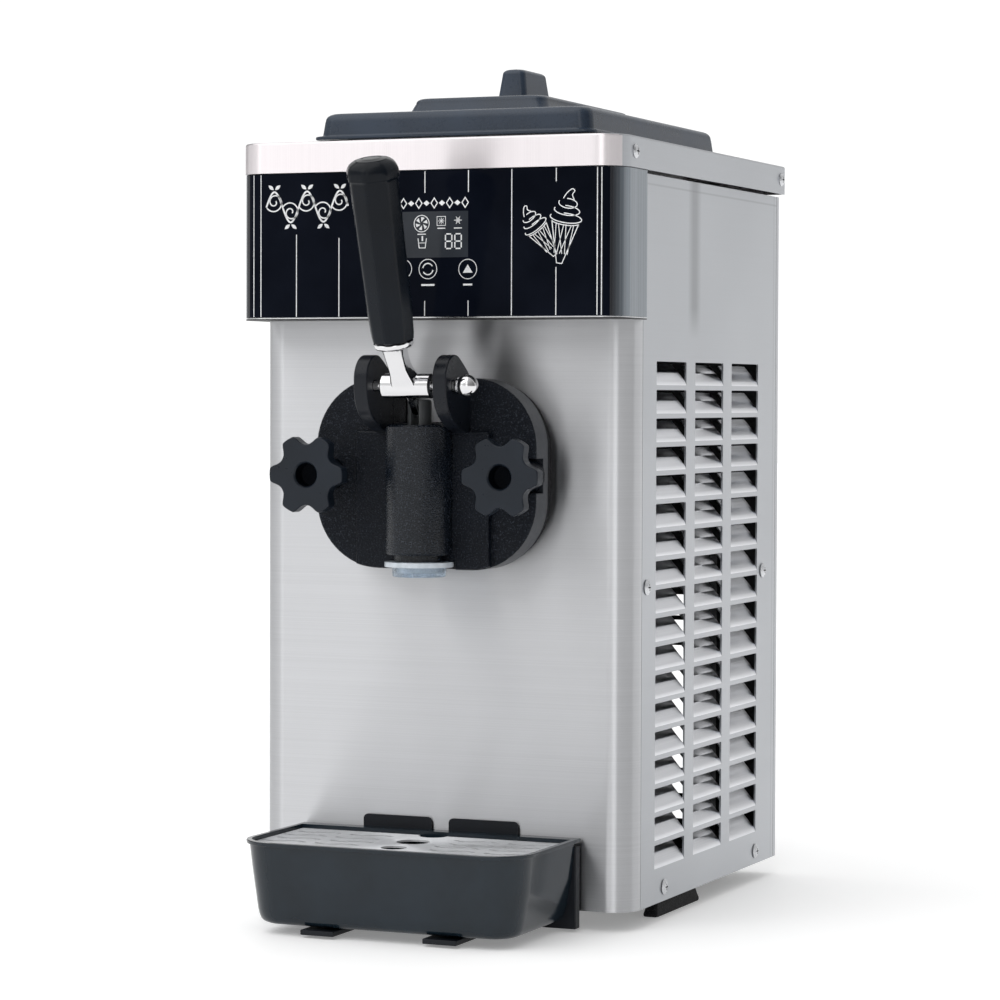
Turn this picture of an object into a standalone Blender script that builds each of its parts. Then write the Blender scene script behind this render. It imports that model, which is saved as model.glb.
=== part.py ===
"""A countertop soft-serve ice cream maker, in metres, with +Z up and its front facing -Y.

Every length below is measured from the outer face of the front panel (y = 0), the middle of the
machine (x = 0) and the table (z = 0). The whole machine hangs on one empty, which moves it back so that
the world origin is under the middle of its bounding box.
"""

import math

import bmesh
import bpy
from mathutils import Matrix, Vector

# Driving dimensions
GAP = 0.0003
SHEET = 0.0012
HALF_WIDTH = 0.125
DEPTH = 0.281
UNDERSIDE = 0.012
PANEL_TOP = 0.459
CORNER = 0.0166
SETBACK = -0.0861

COVER_HALF_WIDTH = 0.1279
COVER_BOTTOM = 0.4609
COVER_TOP = 0.4799
COVER_REAR = DEPTH + 0.0014

HEAD_FRONT = -0.029
HEAD_BOTTOM = 0.3705
HEAD_SIDE_END = 0.0164
FILM = 0.0008
FILM_HALF_WIDTH = 0.1276

LOUVRE_ROWS = 18
LOUVRE_TOP = 0.3456
LOUVRE_PITCH = 0.0175
LOUVRE_HEIGHT = 0.0145
LOUVRE_WIDTH = 0.054
LOUVRE_COLUMNS = (0.0412, 0.1118, 0.1824)
LOUVRE_LEAN = math.radians(50)

SPOUT_Y = -0.034
CYLINDER_Z = 0.276
CYLINDER_BORE = 0.029
CYLINDER_REAR = 0.214
DOOR_FRONT = -0.0265
DOOR_REAR = -0.0063
DOOR_HALF_WIDTH = 0.0730
DOOR_BOTTOM = 0.2186
DOOR_TOP = 0.3348
DOOR_CORNER = 0.042
BAND_HALF_WIDTH = 0.0442
BARREL_RADIUS = 0.0205
BARREL_BORE = 0.0125
BARREL_BOTTOM = 0.228
BARREL_TOP = 0.3065
EAR_INNER = 0.0214
EAR_OUTER = 0.0303
STUD_X = 0.0637
KNOB_FRONT = -0.061

PIVOT = Vector((0, -0.052, 0.330))
PIN_RADIUS = 0.0034
ARM_TOP = Vector((0, -0.0719, 0.3554))
GRIP_TOP = Vector((0, -0.1020, 0.4560))

TRAY_HALF_WIDTH = 0.0935
TRAY_FRONT = -0.100
TRAY_BACK = -0.0085
TRAY_BOTTOM = 0.0058
TRAY_RIM = 0.0565
TRAY_DRAFT = 0.0078

LID_HALF_WIDTH = 0.0946
LID_FRONT = 0.009
LID_BACK = 0.251
LID_BOTTOM = 0.4842
HOPPER_HALF_WIDTH = 0.078
HOPPER_FRONT = 0.030
HOPPER_BACK = 0.230
HOPPER_FLOOR = 0.376

SHAFT_Y = 0.262
MOTOR_X = -0.060
MOTOR_Z = 0.192
FAN_X = -0.053
FAN_Z = 0.088


# Scene, collections and materials
for old in list(bpy.data.objects):
    bpy.data.objects.remove(old, do_unlink=True)

machine = bpy.data.collections.new("ice_cream_maker")
cutters = bpy.data.collections.new("cutters")
for group in (machine, cutters):
    bpy.context.scene.collection.children.link(group)
cutters.hide_render = True

root = bpy.data.objects.new("ice_cream_maker_origin", None)
root.location = (0, SETBACK, 0)
machine.objects.link(root)


def material(name, colour, roughness, metallic=0.0):
    made = bpy.data.materials.new(name)
    made.use_nodes = True
    shader = made.node_tree.nodes["Principled BSDF"]
    shader.inputs["Base Color"].default_value = (*colour, 1)
    shader.inputs["Roughness"].default_value = roughness
    shader.inputs["Metallic"].default_value = metallic
    return made


BRUSHED_STEEL = ((0.60, 0.61, 0.62), 0.32, 1.0)
CHROME = ((0.85, 0.85, 0.86), 0.06, 1.0)
BLACK_PLASTIC = ((0.02, 0.021, 0.024), 0.5)
SLATE_PLASTIC = ((0.045, 0.055, 0.068), 0.3)
RUBBER = ((0.015, 0.015, 0.015), 0.8)
GALVANISED = ((0.55, 0.56, 0.55), 0.5, 1.0)


# Building blocks. Each returns an object whose mesh is still in machine coordinates.
def from_bmesh(name, bm):
    mesh = bpy.data.meshes.new(name)
    bm.normal_update()
    bmesh.ops.recalc_face_normals(bm, faces=bm.faces)
    bm.to_mesh(mesh)
    bm.free()
    made = bpy.data.objects.new(name, mesh)
    machine.objects.link(made)
    made.parent = root
    return made


def block(name, x, y, z):
    """A box between the two limits given on each axis."""
    bm = bmesh.new()
    bmesh.ops.create_cube(bm, size=1)
    size = (x[1] - x[0], y[1] - y[0], z[1] - z[0])
    middle = ((x[0] + x[1]) / 2, (y[0] + y[1]) / 2, (z[0] + z[1]) / 2)
    bmesh.ops.scale(bm, vec=size, verts=bm.verts)
    bmesh.ops.translate(bm, vec=middle, verts=bm.verts)
    return from_bmesh(name, bm)


def rod(name, start, end, radius, end_radius=None, sides=24):
    """A cylinder or a cone between two points."""
    start = Vector(start)
    along = Vector(end) - start
    bm = bmesh.new()
    bmesh.ops.create_cone(
        bm,
        cap_ends=True,
        segments=sides,
        radius1=radius,
        radius2=radius if end_radius is None else end_radius,
        depth=along.length,
    )
    turn = along.to_track_quat("Z", "Y").to_matrix().to_4x4()
    bm.transform(Matrix.Translation(start + along / 2) @ turn)
    return from_bmesh(name, bm)


def ball(name, middle, radius, sides=16):
    bm = bmesh.new()
    bmesh.ops.create_uvsphere(bm, u_segments=sides, v_segments=sides // 2, radius=radius)
    bmesh.ops.translate(bm, vec=middle, verts=bm.verts)
    return from_bmesh(name, bm)


PLANES = {
    "z": Matrix.Identity(4),
    "y": Matrix(((1, 0, 0, 0), (0, 0, 1, 0), (0, 1, 0, 0), (0, 0, 0, 1))),
    "x": Matrix(((0, 0, 1, 0), (1, 0, 0, 0), (0, 1, 0, 0), (0, 0, 0, 1))),
}


def slab(name, axis, low, high, outline, holes=()):
    """A flat outline with holes, between two heights on an axis. Outlines are (x, y), (x, z) or (y, z)."""
    curve = bpy.data.curves.new(name, "CURVE")
    curve.dimensions = "2D"
    curve.fill_mode = "BOTH"
    curve.extrude = (high - low) / 2
    for ring in (outline, *holes):
        spline = curve.splines.new("POLY")
        spline.points.add(len(ring) - 1)
        for point, (a, b) in zip(spline.points, ring):
            point.co = (a, b, 0, 1)
        spline.use_cyclic_u = True
    drawn = bpy.data.objects.new(name + "_outline", curve)
    machine.objects.link(drawn)
    graph = bpy.context.evaluated_depsgraph_get()
    mesh = bpy.data.meshes.new_from_object(drawn.evaluated_get(graph))
    bpy.data.objects.remove(drawn)
    bm = bmesh.new()
    bm.from_mesh(mesh)
    bpy.data.meshes.remove(mesh)
    bmesh.ops.remove_doubles(bm, verts=bm.verts, dist=1e-6)
    bm.transform(PLANES[axis] @ Matrix.Translation((0, 0, (low + high) / 2)))
    return from_bmesh(name, bm)


def loft(name, rings):
    """A closed solid through rings of equal length, given from the bottom up as (outline, z)."""
    bm = bmesh.new()
    loops = []
    for outline, height in rings:
        points = [bm.verts.new((x, y, height)) for x, y in outline]
        loops.append(
            [bm.edges.new((points[i - 1], points[i])) for i in range(len(points))]
        )
    for lower, upper in zip(loops, loops[1:]):
        bmesh.ops.bridge_loops(bm, edges=lower + upper)
    for end in (loops[0], loops[-1]):
        bmesh.ops.contextual_create(bm, geom=end)
    return from_bmesh(name, bm)


def turned(name, profile, middle, axis="z", steps=24):
    """A solid of revolution. The profile is (radius, height) from the top down, on its outer side."""
    bm = bmesh.new()
    points = [bm.verts.new((radius, 0, height)) for radius, height in profile]
    for first, second in zip(points, points[1:]):
        bm.edges.new((first, second))
    mesh = bpy.data.meshes.new(name)
    bm.to_mesh(mesh)
    bm.free()
    made = bpy.data.objects.new(name, mesh)
    machine.objects.link(made)
    made.parent = root
    made.location = middle
    if axis == "x":
        made.rotation_euler = (0, math.pi / 2, 0)
    if axis == "y":
        made.rotation_euler = (-math.pi / 2, 0, 0)
    screw = made.modifiers.new("turn", "SCREW")
    screw.steps = steps
    screw.render_steps = steps
    screw.use_merge_vertices = True
    screw.merge_threshold = 0.00001
    return made


def arc(middle, radius, start, end, count):
    """Points on a circle, from one angle in degrees to another."""
    angles = [math.radians(start + (end - start) * i / count) for i in range(count + 1)]
    return [
        (middle[0] + radius * math.cos(a), middle[1] + radius * math.sin(a)) for a in angles
    ]


def rounded(x, y, radius, count=4, corners=(1, 1, 1, 1)):
    """A rectangle with rounded corners, anticlockwise from the lower left."""
    places = ((x[0], y[0], 1, 1), (x[1], y[0], -1, 1), (x[1], y[1], -1, -1), (x[0], y[1], 1, -1))
    points = []
    for index, (a, b, right, up) in enumerate(places):
        if corners[index]:
            middle = (a + right * radius, b + up * radius)
            start = 180 + 90 * index
            points += arc(middle, radius, start, start + 90, count)
        else:
            points += [(a, b)] * (count + 1)
    return points


def distinct(points):
    """The outline without repeated points."""
    return [p for i, p in enumerate(points) if math.dist(p, points[i - 1]) > 1e-7]


def change(obj, tool, operation):
    """Adds a Boolean that cuts or joins the tool, which becomes a hidden cutter."""
    for group in list(tool.users_collection):
        group.objects.unlink(tool)
    cutters.objects.link(tool)
    tool.hide_render = True
    tool.display_type = "WIRE"
    tool.name = "cutter_" + obj.name
    boolean = obj.modifiers.new(operation.lower(), "BOOLEAN")
    boolean.object = tool
    boolean.operation = operation
    boolean.solver = "EXACT"
    return obj


def cut(obj, *tools):
    for tool in tools:
        change(obj, tool, "DIFFERENCE")
    return obj


def join(obj, *tools):
    for tool in tools:
        change(obj, tool, "UNION")
    return obj


def finish(obj, look, origin=None, smooth=False):
    """Gives the piece its material and puts its origin on its joint axis."""
    obj.data.materials.clear()
    obj.data.materials.append(material(obj.name, *look))
    if origin is not None:
        shift = Vector(origin) - obj.location
        obj.data.transform(obj.rotation_euler.to_matrix().to_4x4().inverted() @ Matrix.Translation(-shift) @ obj.rotation_euler.to_matrix().to_4x4())
        obj.location = origin
    if smooth:
        for face in obj.data.polygons:
            face.use_smooth = True
    return obj


# Cabinet
def make_base_pan():
    def outline(inset):
        wide = HALF_WIDTH - inset
        y = (inset, DEPTH - inset)
        return distinct(rounded((-wide, wide), y, CORNER - inset, 5, (1, 1, 0, 0)))

    clear = SHEET + 2 * GAP
    pan = slab("base_pan", "z", UNDERSIDE, UNDERSIDE + 0.014, outline(clear))
    hollow = slab("pan_hollow", "z", UNDERSIDE + 0.0015, 0.04, outline(clear + SHEET))
    holes = [
        rod("pan_hole", (-0.13, y, z), (0.13, y, z), 0.0022, sides=8)
        for y, z in SIDE_SCREWS
        if z < 0.1
    ]
    finish(cut(pan, hollow, *holes), GALVANISED)


def wrapped_sheet(name, half_width, front, side_end, corner, thickness, z):
    """A sheet bent back at both sides, with round corners, seen from above."""
    outer = [(-half_width, side_end)]
    outer += arc((-half_width + corner, front + corner), corner, 180, 270, 6)
    outer += arc((half_width - corner, front + corner), corner, 270, 360, 6)
    outer += [(half_width, side_end)]
    inside = half_width - thickness
    bend = corner - thickness
    inner = [(inside, side_end)]
    inner += arc((half_width - corner, front + corner), bend, 360, 270, 6)
    inner += arc((-half_width + corner, front + corner), bend, 270, 180, 6)
    inner += [(-inside, side_end)]
    return slab(name, "z", z[0], z[1], outer + inner)


def make_front_panel():
    panel = wrapped_sheet(
        "front_panel", HALF_WIDTH, 0, CORNER + 0.0002, CORNER, SHEET, (UNDERSIDE, PANEL_TOP)
    )
    holes = [rod("bore", (0, -0.01, CYLINDER_Z), (0, 0.01, CYLINDER_Z), 0.0318, sides=40)]
    for side in (-STUD_X, STUD_X):
        holes.append(rod("stud_hole", (side, -0.01, CYLINDER_Z), (side, 0.01, CYLINDER_Z), 0.0046, sides=12))
    finish(cut(panel, *holes), BRUSHED_STEEL)


def slat_outline(side, bottom):
    """A strip of the panel and the louvre bent inwards from its upper edge, as (x, z)."""
    outer, inner = side * HALF_WIDTH, side * (HALF_WIDTH - SHEET)
    lean = Vector((-side * math.sin(LOUVRE_LEAN), math.cos(LOUVRE_LEAN)))
    across = Vector((-side * math.cos(LOUVRE_LEAN), -math.sin(LOUVRE_LEAN))) * SHEET * 0.9
    hinge = Vector((outer, bottom))
    tip = hinge + lean * (LOUVRE_HEIGHT + 0.0010)
    root_point = hinge + across
    root_point += lean * (abs(inner - root_point.x) / abs(lean.x))
    strip = bottom - (LOUVRE_PITCH - LOUVRE_HEIGHT)
    return [(outer, strip), hinge[:], tip[:], (tip + across)[:], root_point[:], (inner, strip)]


def make_side_panel(name, side):
    lowest = LOUVRE_TOP - (LOUVRE_ROWS - 1) * LOUVRE_PITCH - LOUVRE_HEIGHT
    windows = []
    for start in LOUVRE_COLUMNS:
        end = start + LOUVRE_WIDTH
        windows.append([(start, lowest), (end, lowest), (end, LOUVRE_TOP), (start, LOUVRE_TOP)])
    front, rear = CORNER + 0.0006, DEPTH - 0.0074
    outline = [(front, UNDERSIDE), (rear, UNDERSIDE), (rear, PANEL_TOP), (front, PANEL_TOP)]
    inner, outer = sorted((side * (HALF_WIDTH - SHEET), side * HALF_WIDTH))
    panel = slab(name, "x", inner, outer, outline, windows)
    slats = [slat_outline(side, LOUVRE_TOP - row * LOUVRE_PITCH - LOUVRE_HEIGHT) for row in range(LOUVRE_ROWS)]
    for start in LOUVRE_COLUMNS:
        join(panel, slab("slats", "y", start - 0.001, start + LOUVRE_WIDTH + 0.001, slats[0], slats[1:]))
    holes = [
        rod("screw_hole", (side * 0.12, y, z), (side * 0.13, y, z), 0.0022, sides=8)
        for y, z in SIDE_SCREWS
    ]
    finish(cut(panel, *holes), BRUSHED_STEEL)


SIDE_SCREWS = ((0.0254, 0.208), (0.2474, 0.208), (0.0585, 0.0207), (0.2353, 0.0207))


def make_side_screw(name, side, y, z):
    face = side * (HALF_WIDTH + GAP)
    head = rod(name, (face, y, z), (face + side * 0.0014, y, z), 0.0048, 0.0040, sides=14)
    shank = rod("shank", (side * 0.119, y, z), (face + side * 0.0005, y, z), 0.0019, sides=8)
    slot = 0.0006
    cross = [
        block("cross", (min(face + side * 0.0008, face + side * 0.003), max(face + side * 0.0008, face + side * 0.003)), (y - a, y + a), (z - b, z + b))
        for a, b in ((0.0022, slot), (slot, 0.0022))
    ]
    finish(cut(join(head, shank), *cross), CHROME)


def make_rear_panel():
    small = 0.0025
    panel = wrapped_sheet("rear_panel", HALF_WIDTH, 0, 0.007, small, SHEET, (UNDERSIDE, PANEL_TOP))
    panel.data.transform(Matrix.Translation((0, DEPTH, 0)) @ Matrix.Rotation(math.pi, 4, "Z"))
    slots = bmesh.new()
    for row in range(LOUVRE_ROWS // 2, LOUVRE_ROWS):
        middle = LOUVRE_TOP - row * LOUVRE_PITCH - LOUVRE_HEIGHT / 2
        for low, high in ((-0.075, -0.006), (0.008, 0.080)):
            slot = bmesh.ops.create_cube(slots, size=1)["verts"]
            bmesh.ops.scale(slots, vec=(high - low, 0.02, LOUVRE_HEIGHT), verts=slot)
            bmesh.ops.translate(slots, vec=((low + high) / 2, DEPTH, middle), verts=slot)
    gland_hole = rod("gland_hole", (GLAND[0], DEPTH - 0.01, GLAND[1]), (GLAND[0], DEPTH + 0.01, GLAND[1]), 0.0083, sides=20)
    switch_hole = block(
        "switch_hole", (SWITCH[0] - 0.0153, SWITCH[0] + 0.0153), (DEPTH - 0.01, DEPTH + 0.01), (SWITCH[1] - 0.0113, SWITCH[1] + 0.0113)
    )
    finish(cut(panel, from_bmesh("vents", slots), gland_hole, switch_hole), BRUSHED_STEEL)


GLAND = (-0.098, 0.055)
SWITCH = (-0.085, 0.225)


def make_top_cover():
    def outline(inset):
        wide = COVER_HALF_WIDTH - inset
        return distinct(
            rounded((-wide, wide), (HEAD_FRONT - 0.0009 + inset, COVER_REAR - inset), CORNER + 0.002 - inset, 6, (1, 1, 0, 0))
        )

    cover = slab("top_cover", "z", COVER_BOTTOM, COVER_TOP, outline(0))
    hollow = slab("cover_hollow", "z", COVER_BOTTOM - 0.01, COVER_TOP - SHEET, outline(SHEET))
    mouth = block(
        "cover_mouth", (-HOPPER_HALF_WIDTH - 0.002, HOPPER_HALF_WIDTH + 0.002), (HOPPER_FRONT - 0.002, HOPPER_BACK + 0.002), (0.46, 0.5)
    )
    finish(cut(cover, hollow, mouth), BRUSHED_STEEL)


def make_head():
    shell_width = FILM_HALF_WIDTH - FILM - GAP
    front = HEAD_FRONT + FILM + GAP
    corner = CORNER + 0.0008
    outline = [(-shell_width, HEAD_SIDE_END)]
    outline += arc((-shell_width + corner, front + corner), corner, 180, 270, 6)
    outline += arc((shell_width - corner, front + corner), corner, 270, 360, 6)
    outline += [(shell_width, HEAD_SIDE_END)]
    shell = wrapped_sheet(
        "head_shell", shell_width, front, HEAD_SIDE_END, corner, 0.0010, (HEAD_BOTTOM, 0.4592)
    )
    lip = [(x * FILM_HALF_WIDTH / shell_width, y if y > 0 else y * 1.03) for x, y in outline]
    under = HALF_WIDTH + GAP
    notch = [(under, HEAD_SIDE_END)]
    notch += arc((HALF_WIDTH - CORNER, CORNER), CORNER + GAP, 0, -90, 6)
    notch += arc((-HALF_WIDTH + CORNER, CORNER), CORNER + GAP, 270, 180, 6)
    notch += [(-under, HEAD_SIDE_END)]
    join(shell, slab("lip", "z", HEAD_BOTTOM, HEAD_BOTTOM + 0.0012, lip + notch))
    window = block("window", (-0.0105, 0.0265), (HEAD_FRONT - 0.01, HEAD_FRONT + 0.01), (0.4095, 0.4345))
    finish(cut(shell, window), BRUSHED_STEEL)
    film = wrapped_sheet(
        "control_film", FILM_HALF_WIDTH, HEAD_FRONT, HEAD_SIDE_END, corner + FILM + GAP, FILM,
        (HEAD_BOTTOM + 0.0012 + GAP, 0.4604),
    )
    finish(film, ((0.012, 0.014, 0.020), 0.12))
    display = block("display_module", (-0.0100, 0.0260), (-0.0268, -0.0196), (0.4100, 0.4340))
    finish(display, ((0.02, 0.05, 0.07), 0.2))
    board = block("control_board", (-0.052, 0.058), (-0.0193, -0.0177), (0.388, 0.452))
    parts = [
        block("chip", (-0.035, -0.020), (-0.018, -0.0125), (0.400, 0.430)),
        block("relay", (0.032, 0.048), (-0.018, -0.0075), (0.400, 0.420)),
        block("plug", (-0.005, 0.020), (-0.018, -0.0105), (0.440, 0.447)),
    ]
    finish(join(board, *parts), ((0.02, 0.16, 0.06), 0.5))


def make_frame():
    frame = block("inner_frame", (-0.112, 0.112), (0.030, 0.246), (0.2255, 0.2275))
    for x in (-0.1115, 0.0975):
        for y in (0.0305, 0.180):
            join(frame, block("leg", (x, x + 0.014), (y, y + 0.014), (UNDERSIDE + 0.0018, 0.2265)))
    finish(frame, GALVANISED)


def make_foot(name, x, y, wide, long):
    def outline(inset):
        half_x, half_y = wide - inset * 0.4, long - inset
        return rounded((x - half_x, x + half_x), (y - half_y, y + half_y), 0.002, 2)

    foot = loft(
        name,
        [(outline(0), 0), (outline(0), 0.002), (outline(0.005), UNDERSIDE - GAP)],
    )
    finish(foot, RUBBER)


# Mixing and freezing
def make_hopper():
    rim = ((-0.089, 0.089), (0.0155, 0.2445))
    inner_x = (-HOPPER_HALF_WIDTH + SHEET, HOPPER_HALF_WIDTH - SHEET)
    inner_y = (HOPPER_FRONT + SHEET, HOPPER_BACK - SHEET)
    basin = loft(
        "hopper",
        [
            (rounded((-HOPPER_HALF_WIDTH, HOPPER_HALF_WIDTH), (HOPPER_FRONT, HOPPER_BACK), 0.014, 3), HOPPER_FLOOR - SHEET),
            (rounded((-HOPPER_HALF_WIDTH, HOPPER_HALF_WIDTH), (HOPPER_FRONT, HOPPER_BACK), 0.014, 3), COVER_TOP + 0.001),
        ],
    )
    flange = slab("rim", "z", COVER_TOP + GAP, COVER_TOP + 0.0018, rounded(*rim, 0.008, 3))
    collar = loft(
        "collar",
        [(rounded((-0.0805, 0.0805), (0.0275, 0.2325), 0.015, 3), COVER_TOP + 0.001),
         (rounded((-0.0805, 0.0805), (0.0275, 0.2325), 0.015, 3), COVER_TOP + 0.009)],
    )
    hollow = loft(
        "basin_hollow",
        [(rounded(inner_x, inner_y, 0.013, 3), HOPPER_FLOOR), (rounded(inner_x, inner_y, 0.013, 3), 0.5)],
    )
    drain = rod("drain", (0, 0.062, 0.30), (0, 0.062, 0.40), 0.0075, sides=20)
    finish(cut(join(basin, flange, collar), hollow, drain), BRUSHED_STEEL)


def make_lid():
    def outline(inset, radius):
        return rounded(
            (-LID_HALF_WIDTH + inset, LID_HALF_WIDTH - inset), (LID_FRONT + inset, LID_BACK - inset), radius, 4
        )

    def step(inset):
        return rounded((-0.0455 + inset, 0.0455 - inset), (0.0515 + inset, 0.2085 - inset), 0.008, 4)

    def handle(inset):
        return rounded((-0.0083 + inset, 0.0083 - inset), (0.109 + inset, 0.151 - inset), 0.004, 4)

    lid = loft(
        "hopper_lid",
        [
            (outline(0, 0.008), LID_BOTTOM), (outline(0, 0.008), LID_BOTTOM + 0.002),
            (outline(0.0035, 0.008), LID_BOTTOM + 0.0026), (outline(0.0045, 0.008), 0.4960),
            (outline(0.0065, 0.008), 0.4995), (outline(0.0105, 0.008), 0.5010),
        ],
    )
    lift = loft("step", [(step(-0.004), 0.5000), (step(0), 0.5080), (step(0.0015), 0.5110), (step(0.0035), 0.5122)])
    knob = loft(
        "knob",
        [(handle(-0.002), 0.5110), (handle(-0.001), 0.5200), (handle(0.0008), 0.5320), (handle(0.003), 0.5345)],
    )
    under = loft("lid_hollow", [(outline(0.0065, 0.006), 0.48), (outline(0.0085, 0.006), 0.4975)])
    finish(cut(join(lid, lift, knob), under), SLATE_PLASTIC, (0, 0.13, LID_BOTTOM))


def make_air_tube():
    place = (0, 0.062, 0)
    profile = [(0.0035, 0.472), (0.0055, 0.472), (0.0055, 0.386), (0.0120, 0.384), (0.0120, 0.3775), (0.0068, 0.3765), (0.0068, 0.362), (0.0035, 0.362), (0.0035, 0.472)]
    tube = turned("air_tube", profile, place, steps=16)
    port = rod("feed_port", (0, 0.03, 0.393), (0, 0.10, 0.393), 0.0022, sides=10)
    finish(cut(tube, port), ((0.85, 0.85, 0.82), 0.35))


def make_cylinder():
    outer = 0.0315
    middle = (0, 0, CYLINDER_Z)
    profile = [
        (CYLINDER_BORE, -0.0035), (outer, -0.0035), (outer, 0.0016), (0.046, 0.0016), (0.046, 0.0040),
        (outer, 0.0040), (outer, CYLINDER_REAR), (0.0080, CYLINDER_REAR), (0.0080, CYLINDER_REAR - 0.003),
        (CYLINDER_BORE, CYLINDER_REAR - 0.003), (CYLINDER_BORE, -0.0035),
    ]
    vessel = turned("freezing_cylinder", [(r, -h) for r, h in reversed(profile)], middle, "y", 30)
    vessel.rotation_euler = (math.pi / 2, 0, 0)
    riser = rod("riser", (0, 0.062, CYLINDER_Z + 0.0300), (0, 0.062, HOPPER_FLOOR - SHEET - GAP), 0.0095, sides=20)
    bore = rod("riser_bore", (0, 0.062, CYLINDER_Z + 0.015), (0, 0.062, 0.40), 0.0075, sides=20)
    finish(cut(join(vessel, riser), bore), BRUSHED_STEEL)


def make_insulation():
    low, high = 0.0060, CYLINDER_REAR - 0.006
    jacket = rod("insulation_jacket", (0, low, CYLINDER_Z), (0, high, CYLINDER_Z), 0.047, sides=32)
    bore = rod("jacket_bore", (0, low - 0.01, CYLINDER_Z), (0, high + 0.01, CYLINDER_Z), 0.0319, sides=36)
    riser = block("jacket_slot", (-0.0105, 0.0105), (0.0515, 0.0725), (CYLINDER_Z + 0.02, CYLINDER_Z + 0.06))
    finish(cut(jacket, bore, riser), ((0.80, 0.76, 0.62), 0.9))


def make_beater():
    front, rear = 0.010, 0.2085
    beater = rod("beater", (0, rear - 0.012, CYLINDER_Z), (0, rear, CYLINDER_Z), 0.0120, sides=20)
    pieces = [rod("core", (0, front, CYLINDER_Z), (0, rear - 0.006, CYLINDER_Z), 0.0045, sides=12)]
    for y in (front, 0.075, 0.140, rear - 0.008):
        pieces.append(block("spoke", (-0.0265, 0.0265), (y, y + 0.004), (CYLINDER_Z - 0.004, CYLINDER_Z + 0.004)))
    for side in (-1, 1):
        x = sorted((side * 0.0235, side * 0.0272))
        pieces.append(block("scraper", x, (front, rear - 0.001), (CYLINDER_Z - 0.0055, CYLINDER_Z + 0.0055)))
    join(beater, *pieces)
    socket = block("socket", (-0.0052, 0.0052), (rear - 0.010, rear + 0.01), (CYLINDER_Z - 0.0052, CYLINDER_Z + 0.0052))
    finish(cut(beater, socket), ((0.88, 0.88, 0.86), 0.4), (0, 0.10, CYLINDER_Z))


def make_drive():
    middle = (0, 0, CYLINDER_Z)
    seal = [(0.0053, -0.2152), (0.0053, -0.2090), (0.0077, -0.2090), (0.0077, -0.2143), (0.0105, -0.2143), (0.0105, -0.2152), (0.0053, -0.2152)]
    ring = turned("shaft_seal", seal, middle, "y", 16)
    ring.rotation_euler = (math.pi / 2, 0, 0)
    finish(ring, RUBBER)
    shaft = rod("drive_shaft", (0, 0.2076, CYLINDER_Z), (0, 0.2400, CYLINDER_Z), 0.0049, sides=16)
    tang = block("tang", (-0.0045, 0.0045), (0.1990, 0.2080), (CYLINDER_Z - 0.0045, CYLINDER_Z + 0.0045))
    finish(join(shaft, tang), CHROME, (0, 0.22, CYLINDER_Z))
    case = block("gearbox", (-0.034, 0.034), (0.2180, 0.2520), (CYLINDER_Z - 0.034, CYLINDER_Z + 0.034))
    foot = block("gearbox_foot", (-0.044, 0.044), (0.2180, 0.2450), (0.2278, 0.2440))
    bore = rod("case_bore", (0, 0.20, CYLINDER_Z), (0, 0.27, CYLINDER_Z), 0.0056, sides=20)
    finish(cut(join(case, foot), bore), ((0.30, 0.31, 0.32), 0.45, 1.0))
    pulley(
        "gearbox_pulley", 0, CYLINDER_Z, 0.030, (0.2440, SHAFT_Y), 0.0050
    )
    pulley("motor_pulley", MOTOR_X, MOTOR_Z, 0.014, (0.2470, SHAFT_Y), 0.0045)
    motor = rod("drive_motor", (MOTOR_X, 0.140, MOTOR_Z), (MOTOR_X, 0.240, MOTOR_Z), 0.0295, sides=24)
    neck = rod("neck", (MOTOR_X, 0.238, MOTOR_Z), (MOTOR_X, 0.246, MOTOR_Z), 0.014, sides=20)
    mount = block("motor_mount", (MOTOR_X - 0.022, MOTOR_X + 0.022), (0.150, 0.230), (MOTOR_Z + 0.02, 0.2252))
    bore = rod("motor_bore", (MOTOR_X, 0.230, MOTOR_Z), (MOTOR_X, 0.26, MOTOR_Z), 0.0052, sides=16)
    finish(cut(join(motor, neck, mount), bore), ((0.10, 0.11, 0.12), 0.45))
    make_belt()


def pulley(name, x, z, radius, y, stub):
    """A flanged belt wheel with the stub shaft that carries it. It lies from y[0] to y[1] + 6 mm."""
    wheel = rod(name, (x, y[1] - 0.006, z), (x, y[1] + 0.006, z), radius, sides=20)
    shaft = rod("stub", (x, y[0], z), (x, y[1] + 0.007, z), stub, sides=12)
    flanges = [
        rod("flange", (x, a, z), (x, a + 0.0012, z), radius + 0.0040, sides=20)
        for a in (y[1] - 0.0064, y[1] + 0.0052)
    ]
    finish(join(wheel, shaft, *flanges), ((0.55, 0.56, 0.57), 0.35, 1.0), (x, y[1], z))


def make_belt():
    big, small = 0.030 + 0.0004, 0.014 + 0.0004
    lean = math.atan2(MOTOR_Z - CYLINDER_Z, MOTOR_X)
    apart = math.hypot(MOTOR_X, MOTOR_Z - CYLINDER_Z)
    spread = math.degrees(math.acos((big - small) / apart))
    turn = math.degrees(lean)

    def loop(extra):
        return arc((0, CYLINDER_Z), big + extra, turn + spread, turn + 360 - spread, 16) + arc(
            (MOTOR_X, MOTOR_Z), small + extra, turn - spread, turn + spread, 12
        )

    belt = slab("drive_belt", "y", SHAFT_Y - 0.0045, SHAFT_Y + 0.0045, loop(0.0025), [loop(0)])
    finish(belt, RUBBER)


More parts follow.
